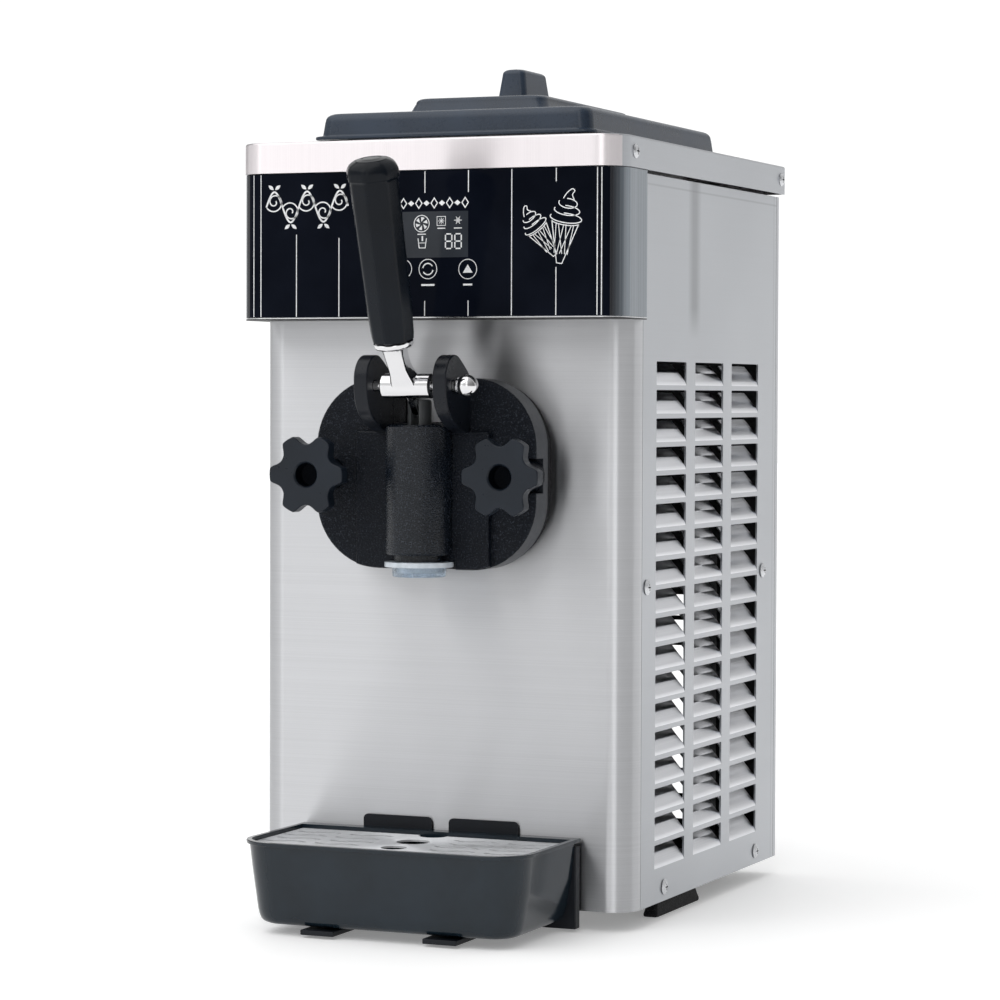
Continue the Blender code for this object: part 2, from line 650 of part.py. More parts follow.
def make_cooling():
    place = (-0.056, 0.112, 0)
    floor = UNDERSIDE + 0.0018
    can = [
        (0, 0.146), (0.020, 0.144), (0.036, 0.137), (0.046, 0.122), (0.048, 0.105), (0.048, 0.085),
        (0.051, 0.084), (0.051, 0.080), (0.048, 0.079), (0.048, 0.045), (0.040, 0.030), (0.026, 0.024),
        (0.026, floor + 0.004), (0, floor + 0.004),
    ]
    compressor = turned("compressor", can, place, steps=22)
    plate = block("compressor_plate", (-0.108, -0.010), (0.065, 0.159), (floor, floor + 0.006))
    finish(join(compressor, plate), ((0.012, 0.012, 0.013), 0.35))
    shroud = block("fan_shroud", (FAN_X - 0.056, FAN_X + 0.056), (0.226, 0.2285), (0.026, 0.158))
    rim = rod("rim", (FAN_X, 0.212, FAN_Z), (FAN_X, 0.227, FAN_Z), 0.0535, sides=32)
    hole = rod("fan_hole", (FAN_X, 0.20, FAN_Z), (FAN_X, 0.24, FAN_Z), 0.0515, sides=32)
    bridge = [
        block("bar", (FAN_X - 0.0556, FAN_X + 0.0556), (0.2080, 0.2125), (FAN_Z - 0.004, FAN_Z + 0.004)),
    ]
    hub_hole = rod("hub_hole", (FAN_X, 0.19, FAN_Z), (FAN_X, 0.216, FAN_Z), 0.0035, sides=12)
    legs = [block("bar_leg", (a, a + 0.004), (0.2080, 0.2275), (FAN_Z - 0.004, FAN_Z + 0.004)) for a in (FAN_X - 0.0556, FAN_X + 0.0516)]
    foot = block("shroud_foot", (FAN_X - 0.050, FAN_X + 0.050), (0.222, 0.2285), (floor, 0.027))
    cut(join(shroud, rim), hole)
    finish(cut(join(shroud, *bridge, *legs, foot), hub_hole), GALVANISED)
    fan = rod("fan_blade", (FAN_X, 0.2140, FAN_Z), (FAN_X, 0.2240, FAN_Z), 0.0125, sides=16)
    axle = rod("axle", (FAN_X, 0.2020, FAN_Z), (FAN_X, 0.2160, FAN_Z), 0.0028, sides=10)
    for blade in range(5):
        piece = block("blade", (0.009, 0.0485), (-0.0006, 0.0006), (-0.011, 0.011))
        turn = Matrix.Rotation(math.radians(72 * blade), 4, "Y") @ Matrix.Rotation(math.radians(62), 4, "X")
        piece.data.transform(Matrix.Translation((FAN_X, 0.2190, FAN_Z)) @ turn @ Matrix.Rotation(math.radians(90), 4, "X"))
        join(fan, piece)
    finish(join(fan, axle), ((0.02, 0.02, 0.02), 0.5), (FAN_X, 0.219, FAN_Z))
    motor = rod("fan_motor", (FAN_X, 0.1700, FAN_Z), (FAN_X, 0.2050, FAN_Z), 0.021, sides=24)
    bore = rod("fan_motor_bore", (FAN_X, 0.20, FAN_Z), (FAN_X, 0.22, FAN_Z), 0.0034, sides=12)
    tab = [block("tab", (a, a + 0.006), (0.1950, 0.2077), (FAN_Z - 0.005, FAN_Z + 0.005)) for a in (FAN_X - 0.024, FAN_X + 0.018)]
    finish(cut(join(motor, *tab), bore), ((0.35, 0.36, 0.37), 0.5, 1.0))
    core = block("condenser", (FAN_X - 0.054, FAN_X + 0.054), (0.2290, 0.2570), (0.026, 0.158))
    fins = bmesh.new()
    for index in range(10):
        slot = bmesh.ops.create_cube(fins, size=1)["verts"]
        bmesh.ops.scale(fins, vec=(0.0060, 0.05, 0.114), verts=slot)
        bmesh.ops.translate(fins, vec=(FAN_X + 0.0105 * (index - 4.5), 0.243, 0.092), verts=slot)
    finish(cut(core, from_bmesh("fins", fins)), ((0.62, 0.63, 0.64), 0.4, 1.0))


# Dispensing door
def door_outline(inset=0.0):
    """Rounded plate with an open notch between the ears, as (x, z)."""
    x = (-DOOR_HALF_WIDTH + inset, DOOR_HALF_WIDTH - inset)
    z = (DOOR_BOTTOM + inset, DOOR_TOP - inset)
    shape = rounded(x, z, DOOR_CORNER, 9)
    notch_floor = BARREL_TOP + 0.0008
    right = [(EAR_INNER, z[1]), (EAR_INNER, notch_floor), (-EAR_INNER, notch_floor), (-EAR_INNER, z[1])]
    upper_left = 3 * len(shape) // 4
    return shape[:upper_left] + right + shape[upper_left:]


def band_outline():
    """The raised middle band, whose lower corners follow the plate's, as (x, z)."""
    middle = DOOR_HALF_WIDTH - DOOR_CORNER
    radius = DOOR_CORNER - 0.0004
    widest = math.asin((BAND_HALF_WIDTH - middle) / radius)
    right = []
    for index in range(5):
        turn = widest * index / 4
        right.append((middle + radius * math.sin(turn), DOOR_BOTTOM + DOOR_CORNER - radius * math.cos(turn)))
    right.append((BAND_HALF_WIDTH, BARREL_TOP - 0.004))
    return [(-x, z) for x, z in reversed(right)] + right


def make_door():
    door = slab("freezer_door", "y", DOOR_FRONT, DOOR_REAR, door_outline())
    band = slab("band", "y", DOOR_FRONT - 0.004, DOOR_FRONT + 0.002, band_outline())
    barrel = rod("barrel", (0, SPOUT_Y, BARREL_BOTTOM), (0, SPOUT_Y, BARREL_TOP), BARREL_RADIUS, sides=32)
    spout = rod("spout", (0, SPOUT_Y, 0.2238), (0, SPOUT_Y, BARREL_BOTTOM + 0.001), 0.0155, sides=28)
    plug = rod("plug", (0, DOOR_REAR - 0.001, CYLINDER_Z), (0, 0.0080, CYLINDER_Z), 0.0284, sides=32)
    join(door, band, barrel, spout, plug)
    for side in (-1, 1):
        outline = [(-0.0253, 0.3290), (-0.0253, 0.3012), (-0.0330, 0.3024), (-0.0430, 0.3052)]
        outline += [(-0.0530, 0.3102), (-0.0600, 0.3170), (-0.0632, 0.3245)]
        outline += arc((-0.0490, 0.3338), 0.0148, -170, -360, 12)
        low, high = sorted((side * EAR_INNER, side * EAR_OUTER))
        join(door, slab("ear", "x", low, high, outline))
    seat = rod("nozzle_seat", (0, SPOUT_Y, 0.21), (0, SPOUT_Y, 0.2239), 0.0226, sides=32)
    bore = rod("barrel_bore", (0, SPOUT_Y, 0.21), (0, SPOUT_Y, 0.32), BARREL_BORE, sides=28)
    port = rod("port", (0, SPOUT_Y, 0.258), (0, 0.02, 0.258), 0.0070, sides=16)
    pin_hole = rod("pin_hole", (-0.05, PIVOT.y, PIVOT.z), (0.05, PIVOT.y, PIVOT.z), PIN_RADIUS + 0.0004, sides=20)
    cut(door, seat, bore, port, pin_hole)
    for side in (-1, 1):
        x = side * STUD_X
        recess_end = side * 0.09
        low, high = sorted((x, recess_end))
        cut(
            door,
            block("recess", (low, high), (DOOR_FRONT - 0.01, -0.0145), (CYLINDER_Z - 0.0105, CYLINDER_Z + 0.0105)),
            rod("recess_end", (x, DOOR_FRONT - 0.01, CYLINDER_Z), (x, -0.0145, CYLINDER_Z), 0.0105, sides=24),
            rod("stud_way", (x, -0.02, CYLINDER_Z), (x, 0.01, CYLINDER_Z), 0.0047, sides=16),
        )
    finish(door, BLACK_PLASTIC)


def make_gasket():
    holes = [arc((0, CYLINDER_Z), 0.0320, 0, 348, 29)]
    for side in (-1, 1):
        holes.append(arc((side * STUD_X, CYLINDER_Z), 0.0050, 0, 324, 9))
    gasket = slab("door_gasket", "y", DOOR_REAR + GAP, -GAP, door_outline(0.0015), holes)
    finish(gasket, RUBBER)


def make_stud(name, side):
    x = side * STUD_X
    stud = rod(name, (x, -0.0485, CYLINDER_Z), (x, 0.0055, CYLINDER_Z), 0.0040, sides=16)
    flange = rod("flange", (x, SHEET + GAP, CYLINDER_Z), (x, SHEET + 0.0035, CYLINDER_Z), 0.0085, sides=6)
    finish(join(stud, flange), CHROME)


def star_outline(x, z):
    """Six lobes with hollows between them, as (x, z)."""
    points = []
    for lobe in range(6):
        middle = 60 * lobe
        for turn, radius in ((-10, 0.0242), (10, 0.0242), (18, 0.0208), (26, 0.0187), (34, 0.0187), (42, 0.0208)):
            angle = math.radians(middle + turn)
            points.append((x + radius * math.cos(angle), z + radius * math.sin(angle)))
    return points


def make_star_knob(name, side):
    x = side * STUD_X
    star = slab(name, "y", KNOB_FRONT, KNOB_FRONT + 0.009, star_outline(x, CYLINDER_Z))
    boss = rod("boss", (x, KNOB_FRONT + 0.008, CYLINDER_Z), (x, -0.0145 - GAP, CYLINDER_Z), 0.0096, sides=24)
    eye = rod("eye", (x, KNOB_FRONT - 0.01, CYLINDER_Z), (x, KNOB_FRONT + 0.011, CYLINDER_Z), 0.0071, sides=20)
    thread = rod("thread", (x, KNOB_FRONT, CYLINDER_Z), (x, 0, CYLINDER_Z), 0.0044, sides=16)
    finish(cut(join(star, boss), eye, thread), SLATE_PLASTIC, (x, -0.05, CYLINDER_Z))


def make_piston():
    groove = 0.0104
    body = 0.0120
    profile = [
        (0, 0.3220), (0.0066, 0.3220), (0.0073, 0.3212), (0.0073, 0.2920), (body, 0.2900), (body, 0.2850),
        (groove, 0.2850), (groove, 0.2815), (body, 0.2815), (body, 0.2380), (groove, 0.2380), (groove, 0.2345),
        (body, 0.2345), (body, 0.2310), (0.0105, 0.2295), (0, 0.2295),
    ]
    piston = turned("valve_piston", profile, (0, SPOUT_Y, 0), steps=20)
    fork = block("fork", (-0.0026, 0.0026), (SPOUT_Y - 0.02, SPOUT_Y + 0.02), (0.3050, 0.33))
    bar = rod("bar", (-0.0050, SPOUT_Y, 0.3175), (0.0050, SPOUT_Y, 0.3175), 0.0015, sides=10)
    finish(join(cut(piston, fork), bar), ((0.50, 0.51, 0.52), 0.35))
    for name, low in (("piston_seal_upper", 0.2850), ("piston_seal_lower", 0.2380)):
        section = [(0.01065, low - 0.0003), (0.01232, low - 0.0007), (0.01232, low - 0.0028), (0.01065, low - 0.0032)]
        ring = turned(name, [*section, section[0]], (0, SPOUT_Y, 0), steps=20)
        finish(ring, RUBBER)


def make_lever():
    hub = rod("draw_lever", PIVOT - Vector((0.0173, 0, 0)), PIVOT + Vector((0.0173, 0, 0)), 0.0075, sides=24)
    along = (ARM_TOP - PIVOT).normalized()
    lean = (GRIP_TOP - ARM_TOP).normalized()
    arm = rod("arm", PIVOT + along * 0.004, ARM_TOP - along * 0.0035, 0.0050, 0.0098, sides=20)
    collar = rod("collar", ARM_TOP - lean * 0.0026, ARM_TOP + lean * 0.0014, 0.0118, sides=24)
    tang = rod("tang", ARM_TOP, ARM_TOP + lean * 0.040, 0.0042, sides=12)
    tongue = block("tongue", (-0.0020, 0.0020), (0, 0.0245), (-0.0020, 0.0020))
    tip = Matrix.Rotation(math.radians(-50), 4, "X")
    tongue.data.transform(Matrix.Translation(PIVOT) @ tip)
    bore = rod("hub_bore", (-0.03, PIVOT.y, PIVOT.z), (0.03, PIVOT.y, PIVOT.z), PIN_RADIUS + 0.0004, sides=20)
    finish(cut(join(hub, arm, collar, tang, tongue), bore), CHROME, PIVOT)
    pin = rod("pivot_pin", (-0.0340, PIVOT.y, PIVOT.z), (0.0372, PIVOT.y, PIVOT.z), PIN_RADIUS, sides=20)
    finish(join(pin, ball("pin_ball", (0.0392, PIVOT.y, PIVOT.z), 0.0068)), CHROME, PIVOT)
    make_grip(hub, lean)


def make_grip(lever, lean):
    start = ARM_TOP + lean * (0.0014 + GAP)
    profile = [
        (0, 0.1085), (0.0030, 0.1100), (0.0095, 0.1106), (0.0142, 0.1080), (0.0166, 0.1035), (0.0166, 0.0990),
        (0.0156, 0.0975), (0.0144, 0.0200), (0.0136, 0.0030), (0.0122, 0), (0.0048, 0), (0.0048, 0.0420), (0, 0.0420),
    ]
    grip = turned("handle_grip", profile, start, steps=16)
    grip.rotation_euler = lean.to_track_quat("Z", "Y").to_euler()
    grip.parent = lever
    grip.location = start - PIVOT
    finish(grip, BLACK_PLASTIC)


def make_nozzle():
    low = 0.2145
    profile = [
        (0.0095, 0.2280), (0.0120, 0.2280), (0.0120, 0.2235), (0.0222, 0.2235), (0.0222, 0.2205), (0.0166, 0.2200),
        (0.0162, low), (0, low), (0, 0.2170), (0.0095, 0.2170), (0.0095, 0.2280),
    ]
    cap = turned("nozzle", profile, (0, SPOUT_Y, 0), steps=24)
    points = []
    for index in range(12):
        radius = 0.0072 if index % 2 else 0.0042
        angle = math.radians(30 * index)
        points.append((radius * math.cos(angle), SPOUT_Y + radius * math.sin(angle)))
    finish(cut(cap, slab("star", "z", low - 0.01, 0.2200, points)), ((0.82, 0.86, 0.90), 0.15), (0, SPOUT_Y, 0.2235))


# Drip tray
def tray_outline(inset, back=TRAY_BACK):
    wide = TRAY_HALF_WIDTH - inset
    return rounded((-wide, wide), (TRAY_FRONT + inset, back), 0.026 - inset, 6, (1, 1, 0, 0))


def make_tray():
    rim, draft = TRAY_RIM, TRAY_DRAFT
    tray = loft(
        "drip_tray",
        [
            (distinct(tray_outline(draft + 0.0070)), TRAY_BOTTOM), (distinct(tray_outline(draft + 0.0020)), TRAY_BOTTOM + 0.0018),
            (distinct(tray_outline(draft)), TRAY_BOTTOM + 0.0065), (distinct(tray_outline(0.0016)), rim - 0.0016),
            (distinct(tray_outline(0, -0.0022)), rim - 0.0012), (distinct(tray_outline(0, -0.0022)), rim),
        ],
    )
    recess = loft(
        "recess",
        [(distinct(tray_outline(0.0034, -0.0108)), rim - 0.0040), (distinct(tray_outline(0.0030, -0.0108)), rim + 0.01)],
    )
    basin = loft(
        "basin",
        [
            (distinct(tray_outline(draft + 0.0045, -0.0140)), TRAY_BOTTOM + 0.0025),
            (distinct(tray_outline(0.0058, -0.0140)), rim - 0.0035),
            (distinct(tray_outline(0.0058, -0.0140)), rim),
        ],
    )
    finish(cut(tray, recess, basin), SLATE_PLASTIC, (0, -0.05, TRAY_BOTTOM))


def wavy_slot(x, y):
    """A long hole that bends like a flat letter S, 30 mm long and 4 mm wide."""
    half, wave = 0.0150, 0.0024
    steps = [-1, -0.5, 0.5, 1]
    middle = [(x + half * s, y + wave * math.sin(math.pi * s)) for s in steps]
    upper = [(a, b + 0.0020) for a, b in middle]
    lower = [(a, b - 0.0020) for a, b in middle]
    return lower + upper[::-1]


def make_grate():
    z = (TRAY_RIM - 0.0040 + GAP, TRAY_RIM - 0.0040 + GAP + 0.0012)
    back = -0.0113
    outline = distinct(tray_outline(0.0040, back))
    notch = [(x, y) for x, y in arc((0, back), 0.009, 360, 180, 8)]
    corner = max(range(len(outline)), key=lambda i: outline[i][0] + outline[i][1] * 2)
    outline = outline[: corner + 1] + notch + outline[corner + 1 :]
    slots = []
    for row in range(5):
        y = -0.0260 - 0.0145 * row
        for x in (-0.0705, -0.0350, 0.0350, 0.0705):
            outwards = (0, 0.003, 0, 0.003, -0.002)[row]
            slots.append(wavy_slot(x + outwards * (1 if x > 0 else -1), y))
    holes = [arc((0, -0.042), 0.0095, 0, 337.5, 15), arc((0, -0.070), 0.0078, 0, 337.5, 15)]
    grate = slab("tray_grate", "z", z[0], z[1], outline, slots + holes)
    finish(grate, BRUSHED_STEEL, (0, -0.05, z[0]))


def make_bracket():
    bracket = block("tray_bracket", (-0.0925, 0.0925), (-0.0080, -0.0008), (0.0016, 0.0520))
    for side in (-1, 1):
        low, high = sorted((side * 0.0058, side * 0.0520))
        tab = slab("tab", "y", -0.0019, -0.0008, rounded((low, high), (0.045, 0.0640), 0.002, 2))
        low, high = sorted((side * 0.029, side * 0.051))
        arm = block("arm", (low, high), (-0.0930, -0.0010), (0.0016, 0.0048))
        join(bracket, tab, arm)
    finish(bracket, BLACK_PLASTIC)


# Mains entry
def make_mains():
    x, z = GLAND
    profile = [
        (0.0040, 0.0085), (0.0070, 0.0085), (0.0070, 0.0060), (0.0105, 0.0058), (0.0105, GAP), (0.0079, GAP),
        (0.0079, -0.0060), (0.0040, -0.0060), (0.0040, 0.0085),
    ]
    gland = turned("cord_gland", profile, (x, DEPTH, z), "y", 20)
    finish(gland, BLACK_PLASTIC)
    x, z = SWITCH
    frame = block("switch_housing", (x - 0.0165, x + 0.0165), (DEPTH + GAP, DEPTH + 0.0022), (z - 0.0125, z + 0.0125))
    box = block("switch_box", (x - 0.0148, x + 0.0148), (DEPTH - 0.014, DEPTH + 0.001), (z - 0.0108, z + 0.0108))
    well = block("switch_well", (x - 0.0125, x + 0.0125), (DEPTH - 0.0110, DEPTH + 0.01), (z - 0.0090, z + 0.0090))
    finish(cut(join(frame, box), well), BLACK_PLASTIC)
    profile = [(-0.0095, 0.0012), (0, -0.0002), (0.0095, 0.0036), (0.0082, -0.0040), (-0.0082, -0.0040)]
    outline = [(x + a, DEPTH + b) for a, b in profile]
    rocker = slab("power_switch", "z", z - 0.0082, z + 0.0082, outline)
    finish(rocker, ((0.55, 0.03, 0.02), 0.35), (x, DEPTH - 0.0040, z))


make_base_pan()
make_front_panel()
make_side_panel("side_panel_left", -1)
make_side_panel("side_panel_right", 1)
for side, word in ((-1, "left"), (1, "right")):
    for number, (y, z) in enumerate(SIDE_SCREWS, 1):
        make_side_screw(f"side_screw_{word}_{number}", side, y, z)
make_rear_panel()
make_top_cover()
make_head()
make_frame()
for side, word in ((-1, "left"), (1, "right")):
    make_foot(f"foot_front_{word}", side * 0.1133, 0.105, 0.0047, 0.040)
    make_foot(f"foot_rear_{word}", side * 0.078, 0.235, 0.011, 0.033)
make_hopper()
make_lid()
make_air_tube()
make_cylinder()
make_insulation()
make_beater()
make_drive()
make_cooling()
make_door()
make_gasket()
for side, word in ((-1, "left"), (1, "right")):
    make_stud(f"stud_{word}", side)
    make_star_knob(f"star_knob_{word}", side)
make_piston()
make_lever()
make_nozzle()
make_tray()
make_grate()
make_bracket()
make_mains()
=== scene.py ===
"""The soft-serve ice cream maker's looks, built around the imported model.

Lengths are in metres. Pieces are drawn in machine coordinates: y = 0 is the outer face of the front
panel, and each mesh is moved back by SETBACK when it becomes an object.
"""

import math

import bmesh
import bpy
from mathutils import Matrix, Vector


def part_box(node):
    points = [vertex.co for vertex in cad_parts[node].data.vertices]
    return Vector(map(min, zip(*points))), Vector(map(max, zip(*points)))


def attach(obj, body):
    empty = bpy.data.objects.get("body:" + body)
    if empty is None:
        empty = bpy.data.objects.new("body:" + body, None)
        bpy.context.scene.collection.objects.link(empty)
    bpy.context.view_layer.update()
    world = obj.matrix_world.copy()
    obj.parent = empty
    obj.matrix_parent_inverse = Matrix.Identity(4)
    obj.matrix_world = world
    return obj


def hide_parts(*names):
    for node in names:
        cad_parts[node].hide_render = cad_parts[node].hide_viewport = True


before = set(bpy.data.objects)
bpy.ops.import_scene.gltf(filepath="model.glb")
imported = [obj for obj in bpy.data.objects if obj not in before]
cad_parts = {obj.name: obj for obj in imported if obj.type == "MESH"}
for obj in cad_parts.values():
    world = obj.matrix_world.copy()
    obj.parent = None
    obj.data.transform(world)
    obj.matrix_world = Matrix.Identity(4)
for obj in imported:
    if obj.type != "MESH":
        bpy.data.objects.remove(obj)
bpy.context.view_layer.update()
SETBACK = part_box("front_panel")[0][1]
scene = bpy.context.scene

# Dimensions shared by several pieces
GAP = 0.0003
SHEET = 0.0012
HALF_WIDTH = 0.125
DEPTH = 0.281
UNDERSIDE = 0.012
PANEL_TOP = 0.459
CORNER = 0.0166
COVER_HALF_WIDTH = 0.1279
COVER_BOTTOM = 0.4609
COVER_TOP = 0.4799
HEAD_FRONT = -0.029
HEAD_BOTTOM = 0.3705
HEAD_SIDE_END = 0.0164
FILM = 0.0008
FILM_HALF_WIDTH = 0.1276
LOUVRE_ROWS = 18
LOUVRE_TOP = 0.3456
LOUVRE_PITCH = 0.0175
LOUVRE_HEIGHT = 0.0145
LOUVRE_WIDTH = 0.054
LOUVRE_COLUMNS = (0.0412, 0.1118, 0.1824)
SPOUT_Y = -0.034
AXIS_Z = 0.276
DOOR_FRONT = -0.0265
DOOR_REAR = -0.0063
DOOR_HALF_WIDTH = 0.0730
DOOR_BOTTOM = 0.2186
DOOR_TOP = 0.3348
DOOR_CORNER = 0.042
BAND_HALF_WIDTH = 0.0442
BARREL_RADIUS = 0.0205
BARREL_BOTTOM = 0.228
BARREL_TOP = 0.3065
EAR_INNER = 0.0214
EAR_OUTER = 0.0303
STUD_X = 0.0637
KNOB_FRONT = -0.061
PIVOT = Vector((0, -0.052, 0.330))
ARM_TOP = Vector((0, -0.0719, 0.3554))
LEAN = (Vector((0, -0.1020, 0.4560)) - ARM_TOP).normalized()
TRAY_HALF_WIDTH = 0.0935
TRAY_FRONT = -0.100
TRAY_BACK = -0.0085
TRAY_BOTTOM = 0.0058
TRAY_RIM = 0.0565
TRAY_DRAFT = 0.0078
TRAY_CREASE = 0.0370
TRAY_CREASE_SLOPE = -0.045
HOPPER_HALF_WIDTH = 0.078
HOPPER_FRONT = 0.030
HOPPER_BACK = 0.230
HOPPER_FLOOR = 0.376
LID_BOTTOM = 0.4842
SIDE_SCREWS = ((0.0254, 0.208), (0.2474, 0.208), (0.0585, 0.0207), (0.2353, 0.0207))
GLAND = (-0.098, 0.055)
SWITCH = (-0.085, 0.225)
FEET = (("front", 0.1133, 0.105, 0.0047, 0.040), ("rear", 0.078, 0.235, 0.011, 0.033))
SIDES = ((-1, "left"), (1, "right"))

# Brightness round the horizon, as (compass angle from the front, towards the right, brightness)
STUDIO_STOPS = (
    (-180, 0.85), (-171, 1.08), (-143, 1.08), (-122, 0.36), (-108, 0.34), (-98, 0.72), (-52, 0.72),
    (-41, 1.45), (-31, 1.50), (-27, 1.16), (-24.5, 0.98), (-19.5, 0.92), (-17, 1.20), (-14, 0.92),
    (4, 0.92), (11, 1.75), (21, 1.65), (29, 0.44), (60, 0.32), (99, 0.22), (105, 0.68), (150, 0.82),
    (180, 0.85),
)


# Camera
def make_camera():
    yaw, pitch, roll = (math.radians(a) for a in (22.898, 1.814, 0.193))
    ahead = Vector((-math.sin(yaw), math.cos(yaw), 0))
    right = Vector((math.cos(yaw), math.sin(yaw), 0))
    up = Vector((0, 0, 1))
    look = ahead * math.cos(pitch) - up * math.sin(pitch)
    rise = up * math.cos(pitch) + ahead * math.sin(pitch)
    x = right * math.cos(roll) + rise * math.sin(roll)
    y = rise * math.cos(roll) - right * math.sin(roll)
    camera = bpy.data.objects.new("camera", bpy.data.cameras.new("camera"))
    camera.data.sensor_width = 36
    camera.data.lens = 118.8
    camera.data.clip_end = 50
    turn = Matrix((x, y, -look)).transposed().to_4x4()
    camera.matrix_world = Matrix.Translation((0.8226, -1.856 + SETBACK, 0.3244)) @ turn
    scene.collection.objects.link(camera)
    scene.camera = camera


# Shapes. Each function returns a bmesh in machine coordinates.
PLANES = {
    "z": Matrix.Identity(4),
    "y": Matrix(((1, 0, 0, 0), (0, 0, 1, 0), (0, 1, 0, 0), (0, 0, 0, 1))),
    "x": Matrix(((0, 0, 1, 0), (1, 0, 0, 0), (0, 1, 0, 0), (0, 0, 0, 1))),
}


def outward(bm):
    bm.normal_update()
    bmesh.ops.recalc_face_normals(bm, faces=bm.faces)
    return bm


def arc(middle, radius, start, end, count):
    """Points on a circle, from one angle in degrees to another."""
    turns = [math.radians(start + (end - start) * i / count) for i in range(count + 1)]
    return [(middle[0] + radius * math.cos(t), middle[1] + radius * math.sin(t)) for t in turns]


def rounded(x, y, radius, count=6, corners=(1, 1, 1, 1)):
    """A rectangle with rounded corners, anticlockwise from the lower left."""
    places = ((x[0], y[0], 1, 1), (x[1], y[0], -1, 1), (x[1], y[1], -1, -1), (x[0], y[1], 1, -1))
    points = []
    for index, (a, b, right, up) in enumerate(places):
        if corners[index]:
            start = 180 + 90 * index
            points += arc((a + right * radius, b + up * radius), radius, start, start + 90, count)
        else:
            points.append((a, b))
    return points


def prism(axis, low, high, outline):
    bm = bmesh.new()
    lower = [bm.verts.new((a, b, low)) for a, b in outline]
    upper = [bm.verts.new((a, b, high)) for a, b in outline]
    bm.faces.new(lower)
    bm.faces.new(upper)
    for i in range(len(outline)):
        bm.faces.new((lower[i - 1], lower[i], upper[i], upper[i - 1]))
    bm.transform(PLANES[axis])
    return outward(bm)


def plate(axis, low, high, outline, holes):
    """A flat outline with holes, between two heights on an axis."""
    curve = bpy.data.curves.new("outline", "CURVE")
    curve.dimensions = "2D"
    curve.fill_mode = "BOTH"
    curve.extrude = (high - low) / 2
    for ring in (outline, *holes):
        spline = curve.splines.new("POLY")
        spline.points.add(len(ring) - 1)
        for point, (a, b) in zip(spline.points, ring):
            point.co = (a, b, 0, 1)
        spline.use_cyclic_u = True
    drawn = bpy.data.objects.new("outline", curve)
    scene.collection.objects.link(drawn)
    graph = bpy.context.evaluated_depsgraph_get()
    mesh = bpy.data.meshes.new_from_object(drawn.evaluated_get(graph))
    bpy.data.objects.remove(drawn)
    bm = bmesh.new()
    bm.from_mesh(mesh)
    bpy.data.meshes.remove(mesh)
    bmesh.ops.remove_doubles(bm, verts=bm.verts, dist=1e-6)
    bm.transform(PLANES[axis] @ Matrix.Translation((0, 0, (low + high) / 2)))
    return outward(bm)


def rectangle(x, y):
    return [(x[0], y[0]), (x[1], y[0]), (x[1], y[1]), (x[0], y[1])]


def block(x, y, z):
    return prism("z", *z, rectangle(x, y))


def loft(rings):
    """A closed solid through rings of equal length, each a list of points."""
    bm = bmesh.new()
    loops = [[bm.verts.new(point) for point in ring] for ring in rings]
    for lower, upper in zip(loops, loops[1:]):
        for i in range(len(lower)):
            bm.faces.new((lower[i - 1], lower[i], upper[i], upper[i - 1]))
    for end in (loops[0], loops[-1]):
        bm.faces.new(end)
    return outward(bm)


def stack(rings):
    """A loft of level outlines, given from the bottom up as (outline, z)."""
    return loft([[(x, y, z) for x, y in outline] for outline, z in rings])


def toward(direction):
    return Vector(direction).to_track_quat("Z", "Y").to_matrix().to_4x4()


def turned(profile, middle, direction=(0, 0, 1), steps=48):
    """A solid of revolution round a direction. The profile is (radius, height) all the way round."""
    bm = bmesh.new()
    points = [bm.verts.new((radius, 0, height)) for radius, height in profile]
    edges = [bm.edges.new(pair) for pair in zip(points, points[1:])]
    if profile[0][0] > 0 and profile[-1][0] > 0 and profile[0] != profile[-1]:
        edges.append(bm.edges.new((points[-1], points[0])))
    bmesh.ops.spin(
        bm, geom=points + edges, cent=(0, 0, 0), axis=(0, 0, 1), dvec=(0, 0, 0),
        angle=2 * math.pi, steps=steps, use_merge=True,
    )
    bmesh.ops.remove_doubles(bm, verts=bm.verts, dist=1e-6)
    bm.transform(Matrix.Translation(middle) @ toward(direction))
    return outward(bm)


def rod(start, end, radius, sides=48):
    start = Vector(start)
    along = Vector(end) - start
    return turned([(0, 0), (radius, 0), (radius, along.length), (0, along.length)], start, along, sides)


def merged(*shapes):
    """Several shapes side by side in one mesh."""
    bm = bmesh.new()
    for shape in shapes:
        mesh = bpy.data.meshes.new("part")
        shape.to_mesh(mesh)
        shape.free()
        bm.from_mesh(mesh)
        bpy.data.meshes.remove(mesh)
    return bm


def boolean(base, tool, operation):
    pair = []
    for bm in (base, tool):
        mesh = bpy.data.meshes.new("work")
        outward(bm).to_mesh(mesh)
        bm.free()
        obj = bpy.data.objects.new("work", mesh)
        scene.collection.objects.link(obj)
        pair.append(obj)
    modifier = pair[0].modifiers.new("work", "BOOLEAN")
    modifier.object = pair[1]
    modifier.operation = operation
    modifier.solver = "EXACT"
    graph = bpy.context.evaluated_depsgraph_get()
    mesh = bpy.data.meshes.new_from_object(pair[0].evaluated_get(graph))
    result = bmesh.new()
    result.from_mesh(mesh)
    bpy.data.meshes.remove(mesh)
    for obj in pair:
        old = obj.data
        bpy.data.objects.remove(obj)
        bpy.data.meshes.remove(old)
    return result


def cut(base, *tools):
    for tool in tools:
        base = boolean(base, tool, "DIFFERENCE")
    return base


def join(base, *tools):
    for tool in tools:
        base = boolean(base, tool, "UNION")
    return base


def soften(bm, width, segments=2, angle=30, test=None):
    """Rounds the edges that turn by more than the angle, and that pass the test."""
    bm.normal_update()
    limit = math.radians(angle)
    edges = [
        edge for edge in bm.edges
        if len(edge.link_faces) == 2 and edge.calc_face_angle(0) > limit and (test is None or test(edge))
    ]
    bmesh.ops.bevel(
        bm, geom=edges, offset=width, segments=segments, profile=0.5, affect="EDGES", clamp_overlap=True
    )
    return outward(bm)


